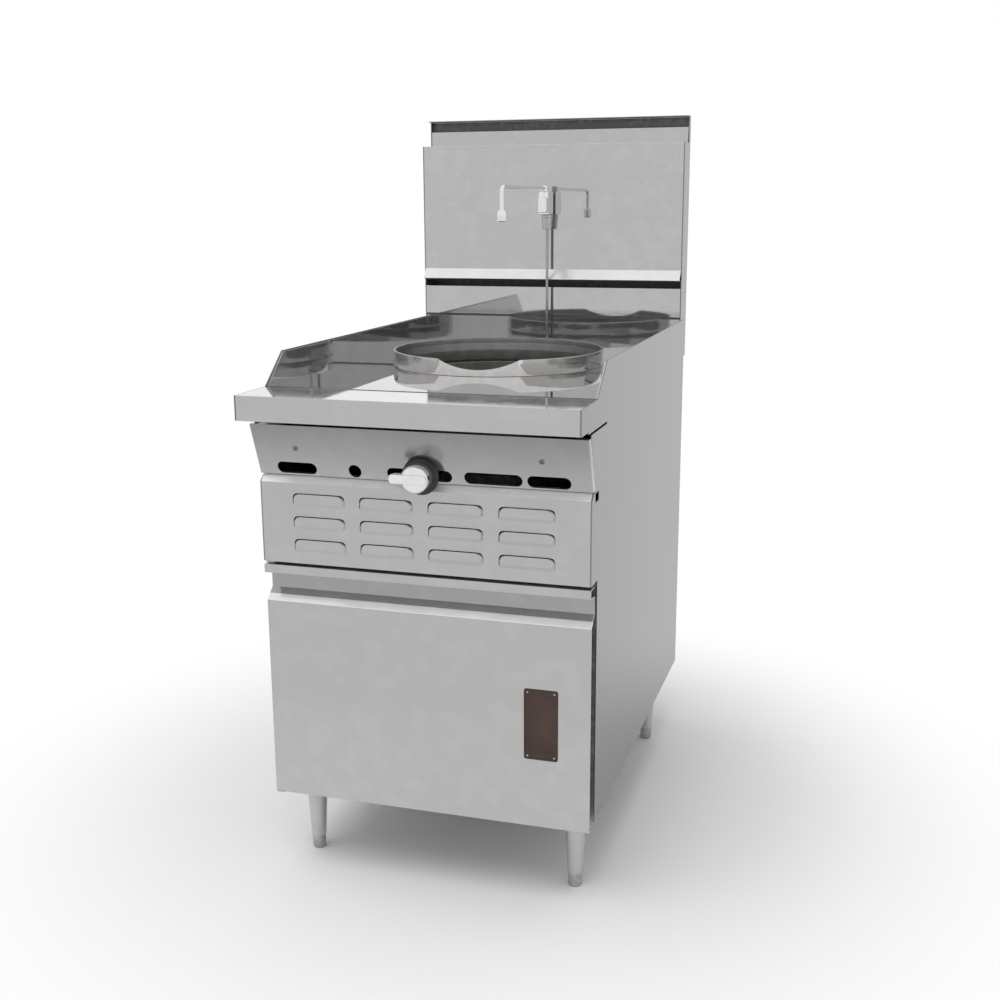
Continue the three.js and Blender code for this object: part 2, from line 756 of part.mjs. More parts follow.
function burnerHead() {
  const flangeBottom = chamberFloor + gap;
  const flange = burnerNeck + neckFlange;
  const body = turned([
    [0, venturiZ - inletRadius], [burnerNeck, venturiZ - inletRadius], [burnerNeck, flangeBottom],
    [flange, flangeBottom], [flange, flangeBottom + neckFlange],
    [burnerRadius - burnerShoulder, burnerTop - burnerRim - burnerTaper],
    [burnerRadius, burnerTop - burnerRim], [burnerRadius, burnerTop], [0, burnerTop],
  ]).translate(0, ringY, 0);
  const inlet = rodY(inletRadius, inletFront, ringY, 0, venturiZ);
  const jets = [];
  for (let i = 0; i < jetCount; i++) {
    const angle = i / jetCount * Math.PI * 2;
    const x = jetCircle * Math.cos(angle);
    const y = ringY + jetCircle * Math.sin(angle);
    jets.push(rodZ(jetRadius, burnerTop - jetRoot, burnerTop + jetHeight, x, y, 8));
  }
  const bore = rodY(venturiThroat, inletFront - past, ringY, 0, venturiZ, 16);
  return cut(join(body, inlet, ...jets), bore);
}

function burnerStrap() {
  const half = burnerNeck + strapMargin;
  const strap = block(-strapReach, strapReach, ringY - half, ringY + half, strapTop - strapHeight, strapTop);
  const low = strapTop - strapHeight - past;
  const neckHole = rodZ(burnerNeck + gap, low, strapTop + past, 0, ringY);
  const pilotHole = rodZ(pilotRadius + gap, low, strapTop + past, pilotOffset, ringY, 16);
  return cut(strap, neckHole, pilotHole);
}

function venturiTube() {
  const bellFoot = venturiLength - bellStart;
  const profile = [
    [venturiThroat + pipeWall / 2, 0], [inletRadius, 0], [venturiThroat + pipeWall, venturiTaper],
    [venturiThroat + pipeWall, bellFoot], [venturiBell, venturiLength - bellEdge], [venturiBell, venturiLength],
    [venturiBell - pipeWall, venturiLength], [venturiThroat, bellFoot], [venturiThroat, venturiTaper],
  ];
  return turned(profile, 24).rotateX(Math.PI / 2).translate(0, inletFront - gap, venturiZ);
}

function airShutter() {
  const ring = turned([
    [shutterBore, 0], [shutterRadius, 0], [shutterRadius, shutterThickness], [shutterBore, shutterThickness],
  ], 24);
  return ring.rotateX(Math.PI / 2).translate(0, venturiFront - gap, venturiZ);
}

function gasOrifice() {
  const body = turned([
    [0, 0], [orificeRadius, 0], [orificeRadius, orificeBase], [orificeTipRadius, orificeBase + jetRoot],
    [orificeTipRadius, orificeLength], [0, orificeLength],
  ], 12);
  return body.rotateX(-Math.PI / 2).translate(0, orificeRear, venturiZ);
}

function pilotBurner() {
  const low = strapTop - pilotDrop;
  const flange = pilotRadius + pilotFlange;
  return turned([
    [0, low], [pilotRadius, low], [pilotRadius, chamberFloor], [flange, chamberFloor],
    [flange, chamberFloor + pilotFlange], [pilotRadius, chamberFloor + pilotFlange],
    [pilotRadius, burnerTop + pilotTip], [0, burnerTop + pilotTip + pilotCone],
  ], 16).translate(pilotOffset, ringY, 0);
}

// ---- Gas train ----
const gasPipeOffset = halfWidth - gasPipeInset;
const manifoldY = bodyFront + manifoldBehindPanel;
const manifoldZ = shaftZ;
const pipeBore = manifoldRadius - pipeWall;
const valveRear = manifoldY - manifoldRadius - gap;
const valveFront = valveRear - valveLength;
const valveOutletY = valveFront + outletSetback;
const valveOutletZ = manifoldZ - outletDrop;
const pilotValveX = roundHoleOffset;
const pilotOutletY = valveRear - pilotOutletSetback;

function gasManifold() {
  const right = gasPipeOffset - elbowReach - gap;
  const left = pilotValveX - manifoldEnd;
  return cut(rodX(manifoldRadius, left, right, manifoldY, manifoldZ),
    rodX(pipeBore, left + pipeWall, right + past, manifoldY, manifoldZ));
}

function gasElbow() {
  const radius = manifoldRadius + elbowWall;
  const along = rodX(radius, gasPipeOffset - elbowReach, gasPipeOffset, manifoldY, manifoldZ);
  const back = rodY(radius, manifoldY, manifoldY + elbowReach, gasPipeOffset, manifoldZ);
  const corner = new THREE.SphereGeometry(radius, 24, 16).translate(gasPipeOffset, manifoldY, manifoldZ);
  return cut(join(along, back, corner),
    rodX(pipeBore, gasPipeOffset - elbowReach - past, gasPipeOffset, manifoldY, manifoldZ, 16),
    rodY(pipeBore, manifoldY - pipeBore / 2, manifoldY + elbowReach + past, gasPipeOffset, manifoldZ, 16));
}

function gasPipe() {
  const front = manifoldY + elbowReach + gap;
  const rear = bodyRear + gasPipeStub;
  return cut(rodY(manifoldRadius, front, rear, gasPipeOffset, manifoldZ),
    rodY(pipeBore, front - past, rear + past, gasPipeOffset, manifoldZ, 16));
}

function gasValve() {
  const body = rodY(valveRadius, valveFront, valveRear, knobOffset, manifoldZ);
  const outlet = rodZ(outletRadius, valveOutletZ, manifoldZ, knobOffset, valveOutletY, 16);
  const shaftSpace = rodY(shaftRadius + gap, valveFront - past, valveFront + shaftInValve + gap,
    knobOffset, manifoldZ, 16);
  return cut(join(body, outlet), shaftSpace);
}

function valveStem() {
  const front = skirtBack - knobSkirtWidth - shaftInKnob;
  return rodY(shaftRadius, front, valveFront + shaftInValve, knobOffset, shaftZ, 16);
}

function supplyTube() {
  const low = (valveOutletZ + venturiZ) / 2;
  return tubeAlong([
    [knobOffset, valveOutletY, valveOutletZ - gap], [knobOffset, valveOutletY, low],
    [0, valveOutletY, low - supplyStep], [0, valveOutletY, venturiZ], [0, orificeRear - gap, venturiZ],
  ], supplyRadius, supplyRadius, 9, 8);
}

function pilotValve() {
  return join(rodY(pilotValveRadius, valveRear - pilotValveLength, valveRear, pilotValveX, manifoldZ, 16),
    rodZ(pilotOutletRadius, manifoldZ - pilotOutletDrop, manifoldZ, pilotValveX, pilotOutletY, 12));
}

function pilotTube() {
  const low = venturiZ - pilotFlange;
  return tubeAlong([
    [pilotValveX, pilotOutletY, manifoldZ - pilotOutletDrop - gap], [pilotValveX, pilotOutletY, low],
    [pilotOffset, ringY - pilotTubeSetback, low], [pilotOffset, ringY, low],
    [pilotOffset, ringY, strapTop - pilotDrop - gap],
  ], pilotTubeBend, pilotTubeRadius, 13, 6);
}

// ---- Faucet ----
const pipeY = riserFront - lipStand - pipeToLip - waterPipeRadius;
const waterRunZ = deckLevel - waterRunDrop;
const waterInletX = -halfWidth + waterInletInset;
const socketTop = deckLevel + faucetHeight;
const socketFoot = socketTop - socketHeight;
const bodyFoot = socketTop + gap;
const bodyTop = bodyFoot + faucetBodyHeight;
const handleZ = (bodyFoot + bodyTop) / 2 - handleDrop;
const faucetFront = pipeY - faucetBodyReach;
const swivelY = pipeY - swivelReach;
const armZ = bodyTop + gap + collarHeight / 2;
const spoutEnd = swivelY - spoutReach;

function waterPipe() {
  return tubeAlong([
    [0, pipeY, socketTop - socketCap], [0, pipeY, waterRunZ], [waterInletX, pipeY, waterRunZ],
    [waterInletX, bodyRear + gasPipeStub, waterRunZ],
  ], pipeBend, waterPipeRadius, 14, 10);
}

function pipeNut() {
  const high = deckLevel - sheet - gap;
  const low = high - pipeNutHeight;
  return cut(rodZ(pipeNutRadius, low, high, 0, pipeY, 6),
    rodZ(waterPipeRadius + gap, low - past, high + past, 0, pipeY, 16));
}

function pipeSocket() {
  const bore = waterPipeRadius + gap;
  const boreTop = socketTop - socketCap + gap;
  return turned([
    [bore, socketFoot], [socketNarrow, socketFoot], [socketRadius, socketTop], [0, socketTop],
    [0, boreTop], [bore, boreTop],
  ], 20).translate(0, pipeY, 0);
}

function faucetBody() {
  const half = faucetBodyWidth / 2;
  const body = block(-half, half, faucetFront, pipeY + faucetBodyRear, bodyFoot, bodyTop);
  const stemHole = rodY(handleStemRadius + gap, faucetFront - past, faucetFront + handleStemDepth + gap,
    0, handleZ, 16);
  return cut(body, stemHole);
}

function faucetHandle() {
  const paddle = roundedPlate(handleLength, handleWidth, handleCorner);
  const bevel = handleThickness / 4;
  const blade = new THREE.ExtrudeGeometry(paddle, {
    depth: handleThickness, bevelEnabled: true, bevelSize: bevel, bevelThickness: bevel, bevelSegments: 1,
    curveSegments: 6,
  });
  const back = faucetFront - handleStem;
  blade.rotateZ(Math.PI / 2).rotateX(Math.PI / 2).translate(0, back, handleZ);
  return join(blade, rodY(handleStemRadius, back - handleThickness / 2, faucetFront + handleStemDepth,
    0, handleZ, 16));
}

function faucetSpout() {
  const collar = rodZ(collarRadius, bodyTop + gap, bodyTop + gap + collarHeight, 0, swivelY, 20);
  const arm = tubeAlong([
    [0, swivelY, armZ], [0, spoutEnd, armZ], [0, spoutEnd, armZ - spoutDrop],
  ], spoutBend, spoutRadius, 10, 10);
  return join(collar, arm);
}

function spoutNozzle() {
  const bore = spoutRadius + gap;
  const low = armZ - spoutDrop - nozzleBore;
  const high = low + nozzleHeight;
  const ledge = low + nozzleBore - gap;
  return turned([
    [bore - nozzleLedge, low], [nozzleRadius - nozzleLedge / 2, low], [nozzleRadius, low + nozzleLedge],
    [nozzleRadius, high - nozzleChamfer], [bore + nozzleLedge, high], [bore, high], [bore, ledge],
    [bore - nozzleLedge, ledge],
  ], 20).translate(0, spoutEnd, 0);
}

// ---- Door ----
const hingeX = -halfWidth + hingeInset;
const hingeY = doorFace + hingeSetback;
const grooveTop = doorTop - grooveDrop;
const grooveFloor = grooveTop - grooveHeight;
const innerDoorHalf = halfWidth - innerInset;
const innerDoorBack = bodyFront - innerClearance;
const catchX = innerHalf - catchInset;
const catchZ = doorTop - catchDrop;

function doorSkin() {
  const line = [
    [doorFace + returnDepth, doorBottom], [doorFace, doorBottom], [doorFace, grooveFloor - grooveSlope],
    [doorFace + grooveDepth, grooveFloor], [doorFace + grooveDepth, grooveTop - grooveRoof],
    [lipFace, grooveTop], [lipFace, doorTop], [doorFace + returnDepth, doorTop],
  ];
  const skin = acrossX(folded(line.reverse(), sheet), -halfWidth, halfWidth);
  const lowHole = rodZ(pinRadius + gap, doorBottom - past, doorBottom + past, hingeX, hingeY, 16);
  const highHole = rodZ(pinRadius + gap, doorTop - past, doorTop + past, hingeX, hingeY, 16);
  return cut(skin, lowHole, highHole);
}

function doorInner() {
  const front = doorFace + sheet + gap;
  const low = doorBottom + innerRaise;
  const high = grooveFloor - innerBoxDrop;
  const back = block(-innerDoorHalf, innerDoorHalf, innerDoorBack - sheet, innerDoorBack,
    low, doorTop - innerDrop);
  const box = block(-innerDoorHalf, innerDoorHalf, front, innerDoorBack, low, high);
  const hollow = block(-innerDoorHalf + sheet, innerDoorHalf - sheet, front - past, innerDoorBack - sheet,
    low + sheet, high - sheet);
  return join(back, cut(box, hollow));
}

// A hinge bracket: a level plate with a pin into the door, on an upright leg in front of the cabinet.
function hingeBracket(plateLow, pinEnd, legEnd) {
  const plateHigh = plateLow + sheet;
  const left = hingeX - bracketSide;
  const right = hingeX + bracketInset;
  const rear = bodyFront - gap;
  const plate = block(left, right, hingeY - bracketFront, rear, plateLow, plateHigh);
  const leg = block(left, right, rear - sheet, rear, Math.min(plateLow, legEnd), Math.max(plateHigh, legEnd));
  const plateMiddle = (plateLow + plateHigh) / 2;
  const pin = rodZ(pinRadius, Math.min(plateMiddle, pinEnd), Math.max(plateMiddle, pinEnd),
    hingeX, hingeY, 16);
  return join(plate, leg, pin);
}

function hingeTop() {
  return hingeBracket(doorTop + bracketGap, doorTop - pinLength, doorTop - bracketLeg);
}

function hingeBottom() {
  return hingeBracket(doorBottom - gap - sheet, doorBottom + pinLength, doorBottom + 2 * bracketLeg);
}

function magnetCatch() {
  return block(catchX - catchWidth / 2, catchX + catchWidth / 2, bodyFront - gap - catchThickness,
    bodyFront - gap, catchZ - catchHeight / 2, catchZ + catchHeight / 2);
}

function strikePlate() {
  const back = innerDoorBack + gap;
  return block(catchX - catchWidth / 2, catchX + catchWidth / 2, back, back + strikeThickness,
    catchZ - strikeHeight / 2, catchZ + strikeHeight / 2);
}

function badgePlate() {
  const back = doorFace - gap;
  return acrossY(roundedPlate(badgeWidth, badgeHeight, badgeCorner), back - badgeThickness, back, 4);
}

// ---- Knob ----
function knobSkirt() {
  return turned([
    [shaftRadius + gap, 0], [knobSkirtRadius, 0], [knobSkirtRadius, knobSkirtWidth - skirtChamfer],
    [knobSkirtRadius - skirtChamfer, knobSkirtWidth], [shaftRadius + gap, knobSkirtWidth],
  ], 40).rotateX(Math.PI / 2);
}

function knobBody() {
  const disc = turned([
    [0, 0], [knobRadius, 0], [knobRadius, knobLength - knobChamfer],
    [knobRadius - knobChamfer, knobLength], [0, knobLength],
  ], 40).rotateX(Math.PI / 2);
  const wingHalf = knobWingWidth / 2;
  const wingFront = -knobLength + knobWingStart;
  const wingRear = wingFront + knobWingThickness;
  const wing = block(-knobWingReach + wingHalf, 0, wingFront, wingRear, -wingHalf, wingHalf);
  const wingTip = rodY(wingHalf, wingFront, wingRear, -knobWingReach + wingHalf, 0, 20);
  return cut(join(disc, wing, wingTip), rodY(shaftRadius + gap, -shaftInKnob - gap, past, 0, 0, 16));
}

// ---- Legs ----
function leg() {
  const top = cabinetFloorTop - sheet - gap;
  const bore = stemRadius + gap;
  const low = footHeight + gap;
  const boreTop = low + stemHeight + footTravel;
  return turned([
    [bore, low], [legFootRadius, low], [legTopRadius, top - flangeHeight], [flangeRadius, top - flangeHeight],
    [flangeRadius, top], [0, top], [0, boreTop], [bore, boreTop],
  ], 24);
}

function foot() {
  return turned([
    [0, 0], [footRadius - footChamfer, 0], [footRadius, footChamfer],
    [footRadius, footHeight], [stemRadius, footHeight],
    [stemRadius, footHeight + stemHeight], [0, footHeight + stemHeight],
  ], 20);
}

// ---- Assembly ----
const range = new THREE.Group();

function piece(parent, name, geometry, material) {
  const mesh = new THREE.Mesh(geometry, material());
  mesh.name = name;
  parent.add(mesh);
  return mesh;
}

const cabinet = new THREE.Group();
piece(cabinet, 'side_panel_left', sidePanel(-1), satinSteel);
piece(cabinet, 'side_panel_right', sidePanel(1), satinSteel);
piece(cabinet, 'back_panel', backPanel([
  rodY(manifoldRadius + gap, bodyRear - past, bodyRear + past, gasPipeOffset, manifoldZ),
  rodY(waterPipeRadius + gap, bodyRear - past, bodyRear + past, waterInletX, waterRunZ, 16),
]), satinSteel);
piece(cabinet, 'cabinet_floor', cabinetFloor(), innerSteel);
piece(cabinet, 'front_frame', frontFrame(), innerSteel);
piece(cabinet, 'cabinet_baffle', cabinetBaffle(), innerSteel);
piece(cabinet, 'louver_panel', louverPanel(), satinSteel);
piece(cabinet, 'control_panel', controlPanel(), satinSteel);
piece(cabinet, 'front_rail', frontRail(), satinSteel);
range.add(cabinet);

const cooktop = new THREE.Group();
piece(cooktop, 'deck_pan', deckPan(), mirrorSteel);
piece(cooktop, 'wok_ring', wokRing(), ringSteel).position.set(0, ringY, 0);
piece(cooktop, 'chamber_shell', chamberShell(), innerSteel);
piece(cooktop, 'chamber_liner', chamberLiner(), refractory);
piece(cooktop, 'flue_duct', flueDuct(), innerSteel);
range.add(cooktop);

const riser = new THREE.Group();
piece(riser, 'riser_side_left', riserSide(-1), satinSteel);
piece(riser, 'riser_side_right', riserSide(1), satinSteel);
piece(riser, 'riser_back', riserBack(), satinSteel);
piece(riser, 'riser_front_upper', riserFrontUpper(), mirrorSteel);
piece(riser, 'riser_front_lower', riserFrontLower(), mirrorSteel);
piece(riser, 'riser_cap', riserCap(), satinSteel);
range.add(riser);

const burner = new THREE.Group();
piece(burner, 'burner_head', burnerHead(), castIron);
piece(burner, 'burner_strap', burnerStrap(), zinc);
piece(burner, 'venturi_tube', venturiTube(), castIron);
piece(burner, 'air_shutter', airShutter(), zinc);
piece(burner, 'gas_orifice', gasOrifice(), brass);
piece(burner, 'pilot_burner', pilotBurner(), brass);
range.add(burner);

const gasTrain = new THREE.Group();
piece(gasTrain, 'gas_manifold', gasManifold(), blackIron);
piece(gasTrain, 'gas_elbow', gasElbow(), blackIron);
piece(gasTrain, 'gas_pipe', gasPipe(), blackIron);
piece(gasTrain, 'gas_valve', gasValve(), brass);
piece(gasTrain, 'valve_stem', valveStem(), brass);
piece(gasTrain, 'supply_tube', supplyTube(), zinc);
piece(gasTrain, 'pilot_valve', pilotValve(), brass);
piece(gasTrain, 'pilot_tube', pilotTube(), zinc);
range.add(gasTrain);

const faucet = new THREE.Group();
piece(faucet, 'water_pipe', waterPipe(), chrome);
piece(faucet, 'pipe_nut', pipeNut(), brass);
piece(faucet, 'pipe_socket', pipeSocket(), chrome);
piece(faucet, 'faucet_body', faucetBody(), chrome);
piece(faucet, 'faucet_handle', faucetHandle(), chrome);
piece(faucet, 'faucet_spout', faucetSpout(), chrome);
piece(faucet, 'spout_nozzle', spoutNozzle(), chrome);
range.add(faucet);

const door = new THREE.Group();
piece(door, 'door_skin', doorSkin(), satinSteel);
piece(door, 'door_inner', doorInner(), blackEnamel);
piece(door, 'strike_plate', strikePlate(), zinc);
piece(door, 'badge_plate', badgePlate(), badgeBrown)
  .position.set(halfWidth - badgeInset, 0, doorBottom + badgeRaise);
range.add(door);

const hardware = new THREE.Group();
piece(hardware, 'hinge_top', hingeTop(), zinc);
piece(hardware, 'hinge_bottom', hingeBottom(), zinc);
piece(hardware, 'magnet_catch', magnetCatch(), blackPlastic);
range.add(hardware);

const knob = new THREE.Group();
piece(knob, 'knob_skirt', knobSkirt(), blackPlastic);
piece(knob, 'control_knob', knobBody(), chrome).position.y = -knobSkirtWidth - gap;
knob.position.set(knobOffset, skirtBack, shaftZ);
range.add(knob);

for (const [end, y] of [['front', bodyFront + legFrontInset], ['rear', bodyRear - legRearInset]]) {
  for (const [side, x] of [['left', -halfWidth + legInset], ['right', halfWidth - legInset]]) {
    const corner = new THREE.Group();
    piece(corner, `leg_${end}_${side}`, leg(), satinSteel);
    piece(corner, `foot_${end}_${side}`, foot(), innerSteel);
    corner.position.set(x, y, 0);
    range.add(corner);
  }
}

export default range;
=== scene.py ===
import math

import bmesh
import bpy
from mathutils import Matrix, Vector


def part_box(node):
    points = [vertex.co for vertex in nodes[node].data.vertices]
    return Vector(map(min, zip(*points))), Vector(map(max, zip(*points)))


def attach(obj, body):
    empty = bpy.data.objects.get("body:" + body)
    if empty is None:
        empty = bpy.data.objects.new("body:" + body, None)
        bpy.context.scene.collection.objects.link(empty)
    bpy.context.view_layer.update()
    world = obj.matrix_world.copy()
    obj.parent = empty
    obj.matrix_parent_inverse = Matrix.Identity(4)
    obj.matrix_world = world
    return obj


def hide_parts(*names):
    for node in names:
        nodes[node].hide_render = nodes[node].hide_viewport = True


# A single-chamber gas wok range in satin and polished stainless sheet. Metres, floor at Z 0, front at -Y.
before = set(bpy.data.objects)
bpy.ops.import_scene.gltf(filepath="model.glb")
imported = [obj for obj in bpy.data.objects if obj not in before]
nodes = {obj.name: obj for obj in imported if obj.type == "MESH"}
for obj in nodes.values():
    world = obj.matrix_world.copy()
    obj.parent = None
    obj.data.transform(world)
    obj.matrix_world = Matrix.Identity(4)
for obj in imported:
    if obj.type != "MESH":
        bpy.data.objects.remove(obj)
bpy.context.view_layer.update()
print("frame loaded:", len(nodes), "nodes")

rangeBody, doorBody, knobBody, spoutBody, tapBody = "range", "door", "knob", "spout", "tap_handle"


# adds a node with its settings; an input is linked if its value is a socket, and set if it isn't
def placeNode(tree, kind, inputs=(), **settings):
    node = tree.nodes.new(kind)
    for name, value in settings.items():
        setattr(node, name, value)
    for label, value in dict(inputs).items():
        if isinstance(value, bpy.types.NodeSocket):
            tree.links.new(value, node.inputs[label])
        else:
            node.inputs[label].default_value = value
    return node


def mathNode(tree, operation, *values):
    return placeNode(tree, "ShaderNodeMath", enumerate(values), operation=operation).outputs[0]


# inputs are (label, kind, value), and outputs are (label, kind)
def newGroup(name, inputs, outputs, treeKind="ShaderNodeTree"):
    group = bpy.data.node_groups.new(name, treeKind)
    for label, kind, value in inputs:
        socket = group.interface.new_socket(label, in_out="INPUT", socket_type="NodeSocket" + kind)
        if value is not None:
            socket.default_value = value
    for label, kind in outputs:
        group.interface.new_socket(label, in_out="OUTPUT", socket_type="NodeSocket" + kind)
    return group, group.nodes.new("NodeGroupInput"), group.nodes.new("NodeGroupOutput")


# soft blotches of two sizes, as rolled stainless shows under even light
def makeCloudGroup():
    group, start, end = newGroup(
        "cloudyTone",
        [("Vector", "Vector", None), ("Blotches", "Float", 16.0), ("Contrast", "Float", 1.0),
         ("Patches", "Float", 0.45)],
        [("Value", "Float")])
    vector, blotches = start.outputs["Vector"], start.outputs["Blotches"]
    broad = placeNode(group, "ShaderNodeTexNoise", {
        "Vector": vector, "Scale": blotches, "Detail": 3.0, "Roughness": 0.55, "Distortion": 0.6})
    fine = placeNode(group, "ShaderNodeTexNoise", {
        "Vector": vector, "Scale": mathNode(group, "MULTIPLY", blotches, 2.7), "Detail": 2.0})
    patch = placeNode(group, "ShaderNodeMapRange", {      # the edge of a blotch is fairly sharp
        "Value": fine.outputs["Fac"], "From Min": 0.50, "From Max": 0.60})
    mix = placeNode(group, "ShaderNodeMix", {
        "Factor": start.outputs["Patches"], "A": broad.outputs["Fac"], "B": patch.outputs["Result"]},
        data_type="FLOAT")
    spread = placeNode(group, "ShaderNodeMapRange", {
        "Value": mix.outputs["Result"], "From Min": 0.25, "From Max": 0.75}, clamp=True)
    power = mathNode(group, "POWER", spread.outputs["Result"], start.outputs["Contrast"])
    group.links.new(power, end.inputs["Value"])
    return group


# fine parallel lines from the polishing belt
def makeGrainGroup():
    group, start, end = newGroup(
        "beltGrain", [("Vector", "Vector", None), ("Stretch", "Vector", (6.0, 500.0, 900.0))],
        [("Height", "Float")])
    scaled = placeNode(group, "ShaderNodeVectorMath", {
        0: start.outputs["Vector"], 1: start.outputs["Stretch"]}, operation="MULTIPLY")
    lines = placeNode(group, "ShaderNodeTexNoise", {
        "Vector": scaled.outputs["Vector"], "Scale": 1.0, "Detail": 2.0})
    group.links.new(lines.outputs["Fac"], end.inputs["Height"])
    return group


# close pitting of castings, enamel and moulded plastic
def makeGritGroup():
    group, start, end = newGroup(
        "finePits", [("Vector", "Vector", None), ("Size", "Float", 900.0)],
        [("Height", "Float"), ("Stain", "Float")])
    vector = start.outputs["Vector"]
    pits = placeNode(group, "ShaderNodeTexNoise", {
        "Vector": vector, "Scale": start.outputs["Size"], "Detail": 4.0})
    stain = placeNode(group, "ShaderNodeTexNoise", {"Vector": vector, "Scale": 24.0, "Detail": 5.0})
    group.links.new(pits.outputs["Fac"], end.inputs["Height"])
    group.links.new(stain.outputs["Fac"], end.inputs["Stain"])
    return group


cloudyTone = makeCloudGroup()
beltGrain = makeGrainGroup()
finePits = makeGritGroup()


def newMaterial(name, metallic):
    material = bpy.data.materials.new(name)
    material.use_nodes = True
    tree = material.node_tree
    tree.nodes["Principled BSDF"].inputs["Metallic"].default_value = metallic
    return material, tree, placeNode(tree, "ShaderNodeTexCoord").outputs["Object"]


# colour and roughness follow one mask, and the bump follows the height
def dressShader(tree, mask, height, colours, rough, bumpStrength, bumpDistance):
    shader = tree.nodes["Principled BSDF"]
    tint = placeNode(tree, "ShaderNodeMix", {
        "Factor": mask, "A": (*colours[0], 1.0), "B": (*colours[1], 1.0)}, data_type="RGBA")
    polish = placeNode(tree, "ShaderNodeMapRange", {"Value": mask, "To Min": rough[0], "To Max": rough[1]})
    bump = placeNode(tree, "ShaderNodeBump", {
        "Height": height, "Strength": bumpStrength, "Distance": bumpDistance})
    tree.links.new(tint.outputs["Result"], shader.inputs["Base Color"])
    tree.links.new(polish.outputs["Result"], shader.inputs["Roughness"])
    tree.links.new(bump.outputs["Normal"], shader.inputs["Normal"])


def grey(value, warm=0.0):
    return (value * (1 + warm), value, value * (1 - warm))


# polished or satin metal: tone is its middle grey or colour, spread the change from blotch to blotch
def sheetFinish(name, tone, spread, rough, metallic=0.75, warm=0.006, grain=(6.0, 500.0, 900.0),
                grainDepth=0.05, blotches=9.0, contrast=1.0, patches=0.45):
    grainHeight = 0.0002
    material, tree, place = newMaterial(name, metallic)
    cloud = placeNode(tree, "ShaderNodeGroup", {
        "Vector": place, "Blotches": blotches, "Contrast": contrast, "Patches": patches}, node_tree=cloudyTone)
    lines = placeNode(tree, "ShaderNodeGroup", {"Vector": place, "Stretch": grain}, node_tree=beltGrain)
    base = grey(tone, warm) if isinstance(tone, float) else tone
    colours = [[c * scale for c in base] for scale in (1 - spread, 1 + spread)]
    dressShader(tree, cloud.outputs["Value"], lines.outputs["Height"], colours, rough, grainDepth, grainHeight)
    return material


def roughFinish(name, dark, light, rough, metallic=0.0, pitDepth=0.2):
    pitSize, pitHeight = 900.0, 0.0003
    material, tree, place = newMaterial(name, metallic)
    pits = placeNode(tree, "ShaderNodeGroup", {"Vector": place, "Size": pitSize}, node_tree=finePits)
    spread = placeNode(tree, "ShaderNodeMapRange", {
        "Value": pits.outputs["Stain"], "From Min": 0.35, "From Max": 0.65})
    dressShader(tree, spread.outputs["Result"], pits.outputs["Height"], (dark, light), rough, pitDepth,
                pitHeight)
    return material


# painted shade: darkens a finish from one height up to another
def shadedAbove(material, low, high, dark):
    tree = material.node_tree
    shader = tree.nodes["Principled BSDF"]
    place = placeNode(tree, "ShaderNodeTexCoord").outputs["Object"]
    height = placeNode(tree, "ShaderNodeSeparateXYZ", {0: place}).outputs["Z"]
    rise = placeNode(tree, "ShaderNodeMapRange", {"Value": height, "From Min": low, "From Max": high})
    deeper = placeNode(tree, "ShaderNodeMix", {
        "Factor": rise.outputs["Result"], "A": shader.inputs["Base Color"].links[0].from_socket,
        "B": (dark, dark, dark, 1.0)}, data_type="RGBA", blend_type="MULTIPLY")
    tree.links.new(deeper.outputs["Result"], shader.inputs["Base Color"])
    return material


